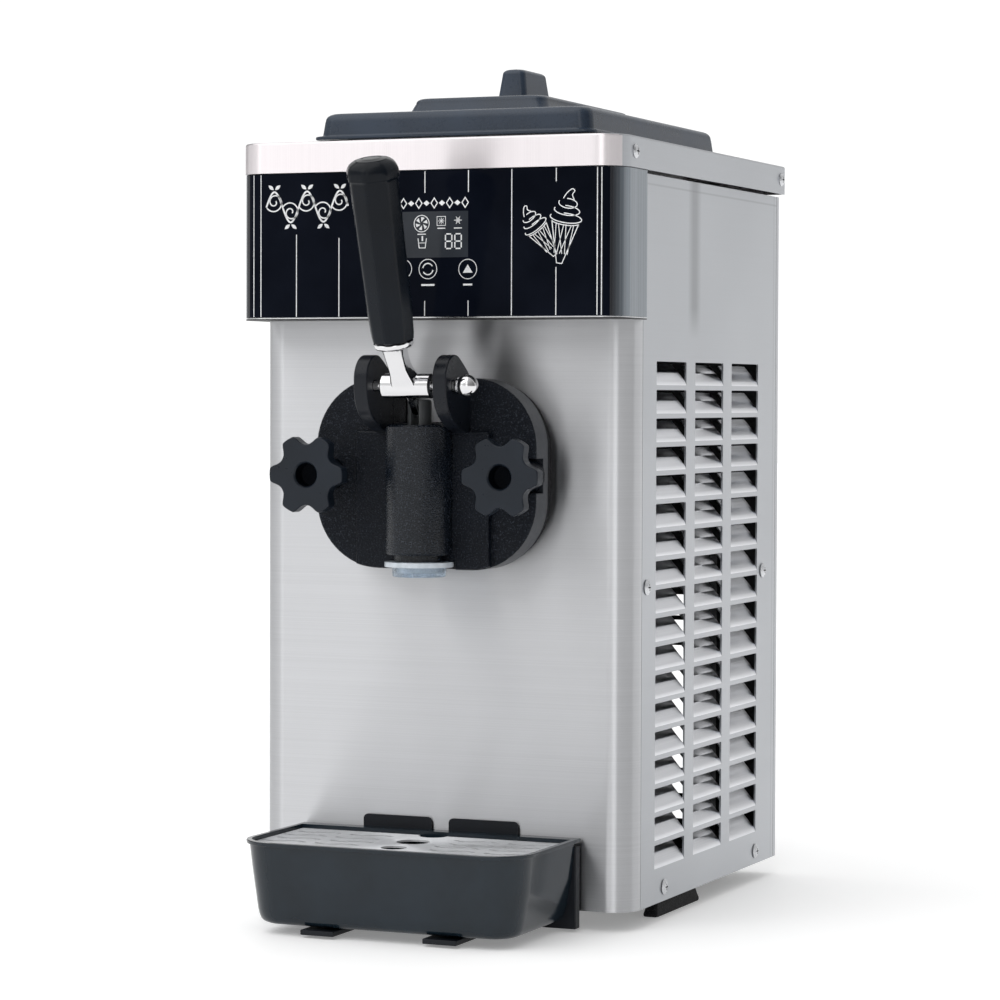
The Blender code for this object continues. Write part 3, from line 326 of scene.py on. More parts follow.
def at(axis, *values):
    """A test for soften: both ends of the edge lie at one of these values on the axis."""
    index = "xyz".index(axis)

    def lies_at(edge):
        return any(all(abs(vert.co[index] - value) < 1e-5 for vert in edge.verts) for value in values)

    return lies_at


def crease(bm, angle):
    """Smooth shading, with sharp edges where the surface turns by more than the angle."""
    bm.normal_update()
    limit = math.radians(angle)
    for face in bm.faces:
        face.smooth = True
    for edge in bm.edges:
        edge.smooth = len(edge.link_faces) == 2 and edge.calc_face_angle(0) < limit


def piece(name, bm, look, body="cabinet", replaces=(), angle=35):
    """Makes the object from one or more named looks, and says what it rides on and what it replaces."""
    bmesh.ops.remove_doubles(bm, verts=bm.verts, dist=2e-7)
    bmesh.ops.translate(bm, vec=(0, SETBACK, 0), verts=bm.verts)
    crease(bm, angle)
    mesh = bpy.data.meshes.new(name)
    bm.to_mesh(mesh)
    bm.free()
    obj = bpy.data.objects.new(name, mesh)
    scene.collection.objects.link(obj)
    for one in [look] if isinstance(look, str) else look:
        mesh.materials.append(looks[one])
    weighted = obj.modifiers.new("normals", "WEIGHTED_NORMAL")
    weighted.keep_sharp = True
    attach(obj, body)
    if replaces:
        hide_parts(*replaces)
    return obj


def paint(obj, index, test):
    """Gives some faces another of the piece's looks. The test takes a face's middle and its normal."""
    for face in obj.data.polygons:
        x, y, z = face.center
        if test(x, y - SETBACK, z, face.normal):
            face.material_index = index


# Materials
BRUSHED_LEVEL = (2.0, 2.0, 1500.0)
BRUSHED_UPRIGHT = (1500.0, 1500.0, 2.0)
CABINET_STEEL = (0.474, 0.490, 0.515)
FILM_BLACK = (0.0028, 0.0040, 0.0080)
PEBBLE_SCALE = 1150.0


looks = {}


class Nodes:
    """The node tree of a material or a world, with short ways to add to it."""

    def __init__(self, owner):
        owner.use_nodes = True
        self.tree = owner.node_tree

    def set(self, node, socket, value):
        """Links a socket, given by name or number, to an output, or gives it a value."""
        if isinstance(value, bpy.types.NodeSocket):
            self.tree.links.new(value, node.inputs[socket])
        else:
            node.inputs[socket].default_value = value

    def node(self, kind, settings=(), **inputs):
        made = self.tree.nodes.new(kind)
        for key, value in dict(settings).items():
            setattr(made, key, value)
        for socket, value in inputs.items():
            self.set(made, socket.replace("_", " "), value)
        return made

    def maths(self, operation, *values):
        made = self.node("ShaderNodeMath", {"operation": operation})
        for index, value in enumerate(values):
            self.set(made, index, value)
        return made.outputs[0]

    def blend(self, factor, first, second):
        made = self.node("ShaderNodeMix", {"data_type": "RGBA"})
        for index, value in ((0, factor), (6, first), (7, second)):
            self.set(made, index, (*value, 1) if isinstance(value, tuple) else value)
        return made.outputs[2]


class Look(Nodes):
    """A named material, with the Principled shader as its end."""

    def __init__(self, name, colour, roughness, metallic=0.0, specular=0.5, **more):
        self.material = bpy.data.materials.new(name)
        looks[name] = self.material
        super().__init__(self.material)
        self.shader = self.tree.nodes["Principled BSDF"]
        self.give("Base Color", (*colour, 1))
        self.give("Roughness", roughness)
        self.give("Metallic", metallic)
        self.give("Specular IOR Level", specular)
        for socket, value in more.items():
            self.give(socket.replace("_", " "), value)
        self.place = self.node("ShaderNodeTexCoord").outputs["Object"]

    def give(self, socket, value):
        self.set(self.shader, socket, value)

    def stretched(self, scale):
        """Object coordinates in metres times a scale on each axis."""
        return self.node("ShaderNodeMapping", Vector=self.place, Scale=scale).outputs["Vector"]

    def noise(self, vector, scale=1.0, detail=2.0, roughness=0.5):
        made = self.node("ShaderNodeTexNoise", Vector=vector, Scale=scale, Detail=detail, Roughness=roughness)
        return made.outputs["Fac"]

    def spread(self, value, low, high, start=0.0, end=1.0):
        """Maps the range start to end onto low to high."""
        made = self.node("ShaderNodeMapRange", Value=value)
        for socket, number in zip(("From Min", "From Max", "To Min", "To Max"), (start, end, low, high)):
            self.set(made, socket, number)
        return made.outputs["Result"]

    def tint(self, value, darker, lighter, start=0.3, end=0.7):
        """A colour that runs from darker to lighter as the value goes from start to end."""
        return self.blend(self.spread(value, 0.0, 1.0, start, end), darker, lighter)

    def bump(self, height, strength, distance):
        made = self.node("ShaderNodeBump", Height=height, Strength=strength, Distance=distance)
        self.give("Normal", made.outputs["Normal"])


def steel(name, brush, colour, roughness=0.34, streak=1.0, painted_reflection_stripe=None, shade_lines=(), metal=1.0):
    """Brushed stainless steel. The brush is the scale on each axis, low along the strokes.

    The painted reflection stripe is a soft dark stripe at (y, lowest height), a painted reflection, and each
    shade line is a fine line of painted shade at (axis, place).
    """
    look = Look(name, colour, roughness, metal, Anisotropic=1.0, Anisotropic_Rotation=0.25)
    tangent = look.node("ShaderNodeTangent", {"direction_type": "RADIAL", "axis": "Z"})
    look.give("Tangent", tangent.outputs[0])
    fine = look.noise(look.stretched(brush), 1.0, 4.0, 0.62)
    wide = look.noise(look.stretched(tuple(b * 0.12 for b in brush)), 1.0, 2.0, 0.5)
    cloud = look.noise(look.place, 7.0, 2.0, 0.5)
    grain = look.maths("ADD", look.maths("MULTIPLY", fine, 0.7), look.maths("MULTIPLY", wide, 0.3))
    dark = tuple(c * (1 - 0.07 * streak) for c in colour)
    light = tuple(min(1.0, c * (1 + 0.06 * streak)) for c in colour)
    shade = look.tint(grain, dark, light)
    parts = look.node("ShaderNodeSeparateXYZ", Vector=look.place).outputs
    # A darker colour for the painted reflection stripe and the painted shade lines
    reflection_and_shade_dark = tuple(c * 0.45 for c in colour)
    # A soft dark stripe painted into the colour: a painted reflection
    if painted_reflection_stripe:
        away = look.maths("ABSOLUTE", look.maths("SUBTRACT", parts["Y"], painted_reflection_stripe[0] + SETBACK), 0.0)
        upper = look.spread(parts["Z"], 0.0, 0.60, painted_reflection_stripe[1], painted_reflection_stripe[1] + 0.02)
        band = look.maths("MULTIPLY", look.spread(away, 1.0, 0.0, 0.0030, 0.0125), upper)
        shade = look.blend(band, shade, reflection_and_shade_dark)
    # Fine dark lines painted into the colour: painted shade
    for axis, value in shade_lines:
        away = look.maths("ABSOLUTE", look.maths("SUBTRACT", parts[axis], value), 0.0)
        shade = look.blend(look.spread(away, 0.35, 0.0, 0.0002, 0.0009), shade, reflection_and_shade_dark)
    look.give("Base Color", shade)
    uneven = look.spread(cloud, -0.02, 0.03, 0.3, 0.7)
    rough = look.maths("ADD", look.spread(grain, -0.04, 0.05, 0.3, 0.7), uneven)
    look.give("Roughness", look.maths("ADD", rough, roughness))
    look.bump(grain, 0.05 * streak, 0.00008)


def plastic(name, colour, roughness, specular=0.5, pebble=0.0, wear=0.06):
    """Moulded plastic with a fine or a pebbled surface and faint handling marks. Pebbled plastic also gets
    light specks, painted glints.
    """
    look = Look(name, colour, roughness, 0.0, specular)
    cloud = look.noise(look.place, 22.0, 3.0, 0.55)
    fine = look.noise(look.place, 420.0, 3.0, 0.6)
    lighter = tuple(c * 1.35 + 0.0012 for c in colour)
    darker = tuple(c * 0.80 for c in colour)
    shade = look.tint(cloud, darker, lighter)
    rough = look.spread(look.maths("ADD", cloud, fine), roughness - wear, roughness + wear, 0.7, 1.3)
    look.give("Roughness", rough)
    if pebble:
        cells = look.node("ShaderNodeTexVoronoi", Vector=look.place, Scale=PEBBLE_SCALE).outputs["Distance"]
        bumps = look.maths("ADD", look.maths("MULTIPLY", cells, -0.9), look.maths("MULTIPLY", fine, 0.3))
        look.bump(bumps, pebble, 0.0008)
        # Light specks on the pebbles: painted highlights
        pebble_glints = look.spread(look.noise(look.place, PEBBLE_SCALE, 2.0, 0.5), 0.0, 0.9, 0.56, 0.68)
        shade = look.blend(pebble_glints, shade, tuple(c * 3 + 0.024 for c in colour))
    else:
        look.bump(fine, 0.05, 0.0001)
    look.give("Base Color", shade)


def chrome(name):
    look = Look(name, (0.72, 0.72, 0.73), 0.05, 1.0)
    haze = look.noise(look.place, 160.0, 3.0, 0.6)
    look.give("Roughness", look.spread(haze, 0.03, 0.10, 0.3, 0.7))
    waves = look.noise(look.place, 75.0, 2.0, 0.5)
    look.bump(look.maths("ADD", waves, look.maths("MULTIPLY", haze, 0.04)), 0.10, 0.0008)


def painted(name, colour, roughness, metallic=0.0, speckle=900.0):
    """Sprayed paint, cast metal or foam, with a speckled surface."""
    look = Look(name, colour, roughness, metallic)
    dust = look.noise(look.place, speckle, 3.0, 0.6)
    cloud = look.noise(look.place, 15.0, 3.0, 0.6)
    both = look.maths("MULTIPLY", look.maths("ADD", dust, cloud), 0.5)
    darker = tuple(c * 0.72 for c in colour)
    lighter = tuple(min(1.0, c * 1.22) for c in colour)
    look.give("Base Color", look.tint(both, darker, lighter, 0.35, 0.65))
    look.give("Roughness", look.spread(both, roughness - 0.08, roughness + 0.10, 0.35, 0.65))
    look.bump(dust, 0.12, 0.0002)


def clear_plastic(name, colour, transmission, roughness):
    look = Look(name, colour, roughness, 0.0, 0.5, Transmission_Weight=transmission, IOR=1.46)
    mottle = look.noise(look.place, 260.0, 3.0, 0.6)
    darker = tuple(c * 0.86 for c in colour)
    look.give("Base Color", look.tint(mottle, darker, colour, 0.35, 0.65))
    look.give("Roughness", look.spread(mottle, roughness - 0.04, roughness + 0.08, 0.35, 0.65))
    look.bump(mottle, 0.06, 0.0002)


def film_with_painted_reflection(name):
    """The film's sides, where the black fades into a painted blue-grey reflection with fine upright lines."""
    look = Look(name, (0.20, 0.23, 0.26), 0.18, 0.0, 0.7)
    parts = look.node("ShaderNodeSeparateXYZ", Vector=look.place).outputs
    lines = look.noise(look.stretched((900.0, 900.0, 3.0)), 1.0, 3.0, 0.6)
    grey = look.tint(lines, (0.150, 0.178, 0.205), (0.250, 0.280, 0.310), 0.35, 0.70)
    # The fade from black to blue-grey stands in for reflected light: a painted reflection
    start = HEAD_FRONT + SETBACK + 0.0042
    reflection_fade = look.spread(parts["Y"], 0.0, 1.0, start, start + 0.0095)
    look.give("Base Color", look.blend(reflection_fade, FILM_BLACK, grey))
    look.give("Roughness", look.spread(lines, 0.14, 0.24, 0.3, 0.7))
    look.bump(lines, 0.04, 0.0001)


def make_looks():
    level = BRUSHED_LEVEL
    steel("front_steel", level, (0.560, 0.566, 0.582))
    steel("side_steel", level, CABINET_STEEL, 0.34, 0.7)
    # The side sheets carry a painted reflection stripe and two lines of painted shade
    steel(
        "panel_steel", level, CABINET_STEEL, 0.34, 0.7, (0.1095, 0.36),
        (("Z", PANEL_TOP - 0.0060), ("Y", DEPTH - 0.0125 + SETBACK)),
    )
    # The cover's front face: upright brushing, with a lighter pinkish colour that is painted light and a
    # painted pink reflection
    steel("cover_front_painted_light", BRUSHED_UPRIGHT, (0.82, 0.775, 0.79), 0.30, 0.8)
    steel("cover_side_steel", level, CABINET_STEEL, 0.34, 0.8)
    steel("lip_steel", level, (0.62, 0.63, 0.64), 0.25, 0.6)
    painted("lip_shade", (0.010, 0.010, 0.011), 0.5)
    steel("grate_steel", (900.0, 6.0, 6.0), (0.70, 0.71, 0.73), 0.45, 0.9, metal=0.45)
    # The louvre flaps: a much lighter copy of the panel steel, painted light
    steel("louvre_steel_painted_light", level, (0.84, 0.85, 0.88), 0.34, 0.8)
    # The sheets' inner faces, painted near-black: painted shade
    painted("inside", (0.030, 0.031, 0.033), 0.6)
    steel("screw_steel", level, (0.62, 0.63, 0.65), 0.22, 0.5)
    steel("hopper_steel", (5.0, 5.0, 700.0), (0.60, 0.60, 0.61), 0.3, 0.8)
    painted("galvanised", (0.16, 0.165, 0.165), 0.5, 0.9, 260.0)
    chrome("chrome")
    plastic("film", FILM_BLACK, 0.07, 0.020, wear=0.02)
    film_with_painted_reflection("film_side_painted_reflection")
    painted("print", (0.78, 0.79, 0.80), 0.45)
    plastic("window", (0.026, 0.030, 0.037), 0.10, 0.2, wear=0.02)
    plastic("lid_plastic", (0.018, 0.031, 0.053), 0.30, 0.45)
    plastic("door_plastic", (0.0012, 0.0028, 0.0062), 0.34, 0.13, pebble=0.6)
    # The barrel: a lighter, glossier copy of the door plastic; the lighter colour is a painted highlight
    plastic("barrel_plastic_painted_highlight", (0.0024, 0.0044, 0.0080), 0.25, 0.30, pebble=0.25)
    plastic("door_smooth", (0.0045, 0.0060, 0.0095), 0.30, 0.24)
    # The door's side faces: a lighter copy of the door plastic, painted light
    plastic("door_rim_painted_light", (0.022, 0.025, 0.031), 0.34, 0.30)
    plastic("knob_plastic", (0.0064, 0.0100, 0.0160), 0.32, 0.26)
    # The knob's eye, painted near-black: painted shade in the hollow
    plastic("knob_eye_painted_shade", (0.0009, 0.0018, 0.0036), 0.55, 0.04)
    plastic("grip_plastic", (0.0020, 0.0040, 0.0074), 0.24, 0.17, wear=0.03)
    plastic("tray_plastic", (0.0062, 0.0122, 0.0185), 0.15, 0.36, wear=0.04)
    plastic("bracket_plastic", (0.005, 0.0065, 0.010), 0.42, 0.25)
    plastic("black_rubber", (0.006, 0.006, 0.007), 0.70, 0.2, pebble=0.15)
    clear_plastic("nozzle_plastic", (0.80, 0.86, 0.92), 0.35, 0.18)
    clear_plastic("nozzle_cap_plastic", (0.62, 0.74, 0.86), 0.75, 0.12)
    plastic("white_acetal", (0.62, 0.63, 0.62), 0.35, 0.5)
    plastic("grey_acetal", (0.060, 0.064, 0.067), 0.34, 0.4)
    painted("nitrile_foam", (0.016, 0.016, 0.017), 0.85)
    painted("cast_alloy", (0.30, 0.30, 0.31), 0.42, 0.9, 700.0)
    painted("black_paint", (0.010, 0.010, 0.011), 0.32)
    painted("condenser_fins", (0.10, 0.105, 0.11), 0.45, 0.9, 900.0)
    painted("circuit_board", (0.010, 0.085, 0.030), 0.40)
    plastic("switch_red", (0.30, 0.010, 0.008), 0.28, 0.5)


# Cabinet
def bent_outline(half_width, front, side_end, corner, thickness, count=14):
    """A sheet bent back at both sides with round corners, seen from above."""
    outer = [(-half_width, side_end)]
    outer += arc((-half_width + corner, front + corner), corner, 180, 270, count)
    outer += arc((half_width - corner, front + corner), corner, 270, 360, count)
    outer += [(half_width, side_end)]
    inside = half_width - thickness
    bend = corner - thickness
    inner = [(inside, side_end)]
    inner += arc((half_width - corner, front + corner), bend, 360, 270, count)
    inner += arc((-half_width + corner, front + corner), bend, 270, 180, count)
    inner += [(-inside, side_end)]
    return outer + inner


def make_front_panel():
    panel = prism("z", UNDERSIDE, PANEL_TOP, bent_outline(HALF_WIDTH, 0, CORNER + 0.0002, CORNER, SHEET))
    tools = [rod((0, -0.01, AXIS_Z), (0, 0.01, AXIS_Z), 0.0318, sides=64)]
    tools += [rod((x, -0.01, AXIS_Z), (x, 0.01, AXIS_Z), 0.0046, sides=20) for x in (-STUD_X, STUD_X)]
    made = piece(
        "front_sheet", cut(panel, *tools), ["front_steel", "inside"], replaces=["front_panel"]
    )
    # The front sheet's inner faces are painted dark: painted shade
    paint(made, 1, lambda x, y, z, normal: normal.y > 0.5 and y < 0.002)


def louvre_section():
    """The louvre's cross section: (distance inwards, height above the bend), outer side then inner side."""
    bend, lean, straight, thick = 0.0050, 40, 0.0130, 0.0009
    middle = (bend, 0.0)
    outer = arc(middle, bend, 180, 180 - lean, 9)
    inner = arc(middle, bend - thick, 180, 180 - lean, 9)
    turn = math.radians(lean)
    step = (straight * math.sin(turn), straight * math.cos(turn))
    outer.append((outer[-1][0] + step[0], outer[-1][1] + step[1]))
    inner.append((inner[-1][0] + step[0], inner[-1][1] + step[1]))
    return outer + inner[::-1]


def make_side_panels():
    for side, word in SIDES:
        make_side_panel(side, word)


def make_side_panel(side, word):
    windows = []
    section = louvre_section()
    louvres = []
    for row in range(LOUVRE_ROWS):
        top = LOUVRE_TOP - row * LOUVRE_PITCH
        bottom = top - LOUVRE_HEIGHT
        for start in LOUVRE_COLUMNS:
            end = start + LOUVRE_WIDTH
            windows.append(rounded((start, end), (bottom, top), 0.0007, 2))
            outline = [(side * (HALF_WIDTH - 0.00002 - d), bottom - 0.00015 + h) for d, h in section]
            louvres.append(prism("y", start + 0.0003, end - 0.0003, outline))
    front, rear = CORNER + 0.0006, DEPTH - 0.0074
    outline = rectangle((front, rear), (UNDERSIDE, PANEL_TOP))
    inner, outer = sorted((side * (HALF_WIDTH - SHEET), side * HALF_WIDTH))
    panel = plate("x", inner, outer, outline, windows)
    tools = [rod((side * 0.12, y, z), (side * 0.13, y, z), 0.0022, sides=16) for y, z in SIDE_SCREWS]
    panel = cut(panel, *tools)
    made = piece(
        "side_sheet_" + word, panel, ["panel_steel", "inside"],
        replaces=["side_panel_" + word],
    )
    # The side sheet's inner faces are painted dark: painted shade
    paint(made, 1, lambda x, y, z, normal: normal.x * side < -0.5)
    # The flaps take the lighter copy of the panel steel: painted light
    made = piece("side_louvres_" + word, merged(*louvres), ["louvre_steel_painted_light", "inside"])
    # The flaps' inward undersides are painted dark: painted shade
    paint(made, 1, lambda x, y, z, normal: normal.z < -0.3 and normal.x * side < 0)


def make_rear_panel():
    outline = bent_outline(HALF_WIDTH, 0, 0.007, 0.0025, SHEET, 5)
    panel = prism("z", UNDERSIDE, PANEL_TOP, [(x, DEPTH - y) for x, y in outline])
    tools = []
    for row in range(LOUVRE_ROWS // 2, LOUVRE_ROWS):
        middle = LOUVRE_TOP - row * LOUVRE_PITCH - LOUVRE_HEIGHT / 2
        z = (middle - LOUVRE_HEIGHT / 2, middle + LOUVRE_HEIGHT / 2)
        for x in ((-0.075, -0.006), (0.008, 0.080)):
            tools.append(prism("y", DEPTH - 0.01, DEPTH + 0.01, rounded(x, z, 0.003, 4)))
    x, z = GLAND
    tools.append(rod((x, DEPTH - 0.01, z), (x, DEPTH + 0.01, z), 0.0083, sides=32))
    x, z = SWITCH
    tools.append(block((x - 0.0153, x + 0.0153), (DEPTH - 0.01, DEPTH + 0.01), (z - 0.0113, z + 0.0113)))
    made = piece(
        "rear_sheet", cut(panel, merged(*tools)), ["side_steel", "inside"],
        replaces=["rear_panel"],
    )
    # The rear sheet's inner faces are painted dark: painted shade
    paint(made, 1, lambda x, y, z, normal: normal.y < -0.5)


def cover_outline(inset):
    wide = COVER_HALF_WIDTH - inset
    rear = DEPTH + 0.0014 - inset
    front = HEAD_FRONT - 0.0009 + inset
    return rounded((-wide, wide), (front, rear), CORNER + 0.002 - inset, 12, (1, 1, 0, 0))


def make_top_cover():
    rings = [(cover_outline(0), COVER_BOTTOM)]
    edge = 0.0014
    for x, z in arc((edge, COVER_TOP - edge), edge, 180, 90, 4):
        rings.append((cover_outline(x), z))
    cover = stack(rings)
    hollow = stack([(cover_outline(SHEET), COVER_BOTTOM - 0.01), (cover_outline(SHEET), COVER_TOP - SHEET)])
    wide = HOPPER_HALF_WIDTH + 0.002
    opening = rounded((-wide, wide), (HOPPER_FRONT - 0.002, HOPPER_BACK + 0.002), 0.015, 6)
    mouth = prism("z", 0.46, 0.50, opening)
    made = piece(
        "cover_sheet", cut(cover, hollow, mouth), ["cover_side_steel", "cover_front_painted_light"],
        replaces=["top_cover"],
    )
    # The front face takes the lighter copy of the steel: painted light
    paint(made, 1, lambda x, y, z, normal: normal.y < -0.5)


def screw(middle, side, radius):
    """A cross-recessed pan head that stands on a side panel, with its shank."""
    x, y, z = middle
    dome = [(0, 0.0018), (0.0015, 0.00175), (0.0030, 0.0014), (0.0038, 0.0008), (radius - 0.0004, 0.0006)]
    head = turned([*dome, (radius, 0.0003), (radius, 0), (0, 0)], (x, y, z), (side, 0, 0), 32)
    shank = rod((x - side * 0.0055, y, z), (x + side * 0.0004, y, z), 0.0019, sides=20)
    tools = []
    for a, b in ((0.0021, 0.00042), (0.00042, 0.0021)):
        low, high = sorted((x + side * 0.0006, x + side * 0.003))
        tools.append(block((low, high), (y - a, y + a), (z - b, z + b)))
    return cut(join(head, shank), *tools)


def place_screw(name, side, surface, gap, y, z, radius=0.0048, replaces=()):
    """Sets a screw on a side's surface. The recess in its head is painted dark: painted shade."""
    made = screw((side * (surface + gap), y, z), side, radius)
    made = piece(name, made, ["screw_steel", "lip_shade"], replaces=replaces)
    paint(made, 1, lambda a, b, c, normal: (
        math.hypot(b - y, c - z) < 0.0021 and (normal.x * side < 0.7 or abs(a) < surface + 0.0010)
    ))


def make_screws():
    for side, word in SIDES:
        for number, (y, z) in enumerate(SIDE_SCREWS, 1):
            name = f"side_screw_{word}_{number}"
            place_screw("turned_" + name, side, HALF_WIDTH, GAP, y, z, replaces=[name])
        for number, y in enumerate((-0.005, 0.2745), 1):
            place_screw(f"cover_screw_{word}_{number}", side, COVER_HALF_WIDTH, 0.0001, y, 0.4705, 0.0043)


def make_head():
    width = FILM_HALF_WIDTH - FILM - GAP
    front = HEAD_FRONT + FILM + GAP
    corner = CORNER + 0.0008
    shell = prism("z", HEAD_BOTTOM, 0.4592, bent_outline(width, front, HEAD_SIDE_END, corner, 0.0010))
    outer = [(-FILM_HALF_WIDTH, HEAD_SIDE_END)]
    round_out = corner + FILM + GAP
    outer += arc((-FILM_HALF_WIDTH + round_out, HEAD_FRONT + round_out), round_out, 180, 270, 14)
    outer += arc((FILM_HALF_WIDTH - round_out, HEAD_FRONT + round_out), round_out, 270, 360, 14)
    outer += [(FILM_HALF_WIDTH, HEAD_SIDE_END)]
    under = HALF_WIDTH + GAP
    notch = [(under, HEAD_SIDE_END)]
    notch += arc((HALF_WIDTH - CORNER, CORNER), CORNER + GAP, 0, -90, 14)
    notch += arc((-HALF_WIDTH + CORNER, CORNER), CORNER + GAP, 270, 180, 14)
    notch += [(-under, HEAD_SIDE_END)]
    lip = stack([(outer + notch, HEAD_BOTTOM + height) for height in (0, 0.0007, 0.0012)])
    window = block((-0.0105, 0.0265), (HEAD_FRONT - 0.01, HEAD_FRONT + 0.01), (0.4095, 0.4345))
    made = piece(
        "head_sheet", cut(join(shell, lip), window), ["lip_steel", "lip_shade"],
        replaces=["head_shell"],
    )
    # The lip's underside and lower edge are painted near-black: painted shade
    paint(made, 1, lambda x, y, z, normal: normal.z < -0.5 or z < HEAD_BOTTOM + 0.0006)
    film = prism(
        "z", HEAD_BOTTOM + 0.0012 + GAP, 0.4604,
        bent_outline(FILM_HALF_WIDTH, HEAD_FRONT, HEAD_SIDE_END, round_out, FILM, 18),
    )
    made = piece(
        "printed_film", film, ["film", "film_side_painted_reflection"], replaces=["control_film"]
    )
    # The film's sides take the painted blue-grey reflection
    paint(made, 1, lambda x, y, z, normal: y > HEAD_FRONT + 0.0036 and abs(normal.z) < 0.5)


# Printed graphics, as thin raised ink on the film
INK_BACK = HEAD_FRONT - 0.00001
INK_FRONT = HEAD_FRONT - 0.00007


def ribbon(bm, points, width, closed=False):
    """A line of ink through points in (x, z), with mitred corners."""
    count = len(points)
    sides = []
    for i, (x, z) in enumerate(points):
        before = points[i - 1] if closed or i else points[i]
        after = points[(i + 1) % count] if closed or i < count - 1 else points[i]
        first = Vector((x - before[0], z - before[1]))
        second = Vector((after[0] - x, after[1] - z))
        first = first.normalized() if first.length > 1e-9 else second.normalized()
        second = second.normalized() if second.length > 1e-9 else first
        along = (first + second).normalized() if (first + second).length > 1e-6 else first
        reach = min(2.0, 1 / max(0.4, along.dot(first))) * width / 2
        across = Vector((-along.y, along.x)) * reach
        sides.append(((x + across.x, z + across.y), (x - across.x, z - across.y)))
    corners = [
        [bm.verts.new((px, y, pz)) for px, pz in pair for y in (INK_BACK, INK_FRONT)] for pair in sides
    ]
    spans = list(zip(corners, corners[1:]))
    if closed:
        spans.append((corners[-1], corners[0]))
    for (a, b, c, d), (e, f, g, h) in spans:
        for face in ((a, b, f, e), (b, d, h, f), (d, c, g, h), (c, a, e, g)):
            bm.faces.new(face)
    if not closed:
        for a, b, c, d in (corners[0], corners[-1]):
            bm.faces.new((a, c, d, b))


def patch(bm, outline):
    """A filled area of ink."""
    back = [bm.verts.new((x, INK_BACK, z)) for x, z in outline]
    front = [bm.verts.new((x, INK_FRONT, z)) for x, z in outline]
    bm.faces.new(back)
    bm.faces.new(front)
    for i in range(len(outline)):
        bm.faces.new((back[i - 1], back[i], front[i], front[i - 1]))


def smooth_line(points, per_span=8):
    """A Catmull-Rom curve through the points."""
    ends = [points[0], *points, points[-1]]
    line = []
    for a, b, c, d in zip(ends, ends[1:], ends[2:], ends[3:]):
        a, b, c, d = (Vector(p) for p in (a, b, c, d))
        for i in range(per_span):
            t = i / per_span
            square = (2 * a - 5 * b + 4 * c - d) * t**2
            cube = (3 * b - a - 3 * c + d) * t**3
            line.append(tuple(0.5 * (2 * b + (c - a) * t + square + cube)))
    line.append(tuple(points[-1]))
    return line


def spiral(middle, start_radius, end_radius, start, end, count):
    points = []
    for i in range(count + 1):
        t = i / count
        radius = start_radius + (end_radius - start_radius) * t
        turn = math.radians(start + (end - start) * t)
        points.append((middle[0] + radius * math.cos(turn), middle[1] + radius * math.sin(turn)))
    return points


def print_stripes(bm):
    top, foot = 0.4600, HEAD_BOTTOM + 0.0019
    thin = 0.00055
    lines = [
        (-0.1157, foot, top), (-0.1102, foot, top), (-0.0857, foot, 0.4230), (-0.0567, foot, 0.4205),
        (-0.0280, foot, 0.4185), (0.0009, 0.4468, top), (0.0009, foot, 0.3815), (0.0296, 0.4468, top),
        (0.0296, foot, 0.3815), (0.0579, foot, top), (0.0866, 0.4520, top), (0.0866, foot, 0.4010),
        (0.1128, foot, top), (0.1153, foot, top),
    ]
    for x, low, high in lines:
        patch(bm, rectangle((x - thin / 2, x + thin / 2), (low, high)))


def print_flourish(bm):
    """A scrolling vine with curled tendrils and leaves."""
    start, half_wave, middle, rise, count = -0.1065, 0.0112, 0.4400, 0.0094, 5
    stem = []
    for index in range(count * 14 + 1):
        t = index / 14
        stem.append((start + half_wave * t, middle + rise * math.sin(math.pi * t)))
    ribbon(bm, stem, 0.0011)
    for index in range(count):
        up = 1 if index % 2 == 0 else -1
        x = start + half_wave * (index + 0.5)
        curl = spiral((x, 0.0032), 0.0063, 0.0010, 214, 750, 44)
        ribbon(bm, [(a, middle + up * b) for a, b in curl], 0.0008)
        for turn in (38, 142):
            heading = Vector((math.cos(math.radians(turn)), up * math.sin(math.radians(turn))))
            across = Vector((-heading.y, heading.x))
            base = Vector((x, middle + up * (rise + 0.0009))) + heading * 0.0006
            near, far = [], []
            for step in range(7):
                t = step / 6
                swell = across * 0.0011 * math.sin(math.pi * t)
                near.append(tuple(base + heading * 0.0046 * t + swell))
                far.append(tuple(base + heading * 0.0046 * t - swell))
            patch(bm, near + far[-2:0:-1])


def print_cones(bm):
    """Two plain cones of soft ice cream, drawn in lines."""
    line = 0.00055

    def scoop(middle, tilt, size):
        turn = math.radians(tilt)

        def to_film(points):
            return [
                (
                    middle[0] + size * (a * math.cos(turn) - b * math.sin(turn)),
                    middle[1] + size * (a * math.sin(turn) + b * math.cos(turn)),
                )
                for a, b in points
            ]

        cone = [(-0.62, 0.0), (-0.12, -1.75), (0.12, -1.75), (0.62, 0.0)]
        ribbon(bm, to_film(cone), line)
        ribbon(bm, to_film([(x, z * 0.22) for x, z in arc((0, 0), 0.62, 180, 360, 16)]), line)
        for start in (-0.40, -0.05, 0.30):
            ribbon(bm, to_film([(start, -0.10), (start * 0.35 - 0.16, -1.35)]), line * 0.8)
            ribbon(bm, to_film([(-start, -0.10), (-start * 0.35 + 0.16, -1.35)]), line * 0.8)
        for height, half in ((0.16, 0.72), (0.48, 0.58), (0.78, 0.42)):
            bulge = [
                (half * math.cos(t), height + 0.20 * math.sin(t))
                for t in (math.radians(a) for a in range(-200, 101, 12))
            ]
            ribbon(bm, to_film(bulge), line)
        tip = [(-0.24, 0.96), (-0.12, 1.20), (0.08, 1.40), (0.22, 1.34), (0.14, 1.16), (0.26, 0.96)]
        ribbon(bm, to_film(smooth_line(tip, 6)), line)

    scoop((0.0925, 0.4278), -9, 0.0142)
    scoop((0.0745, 0.4240), 36, 0.0112)


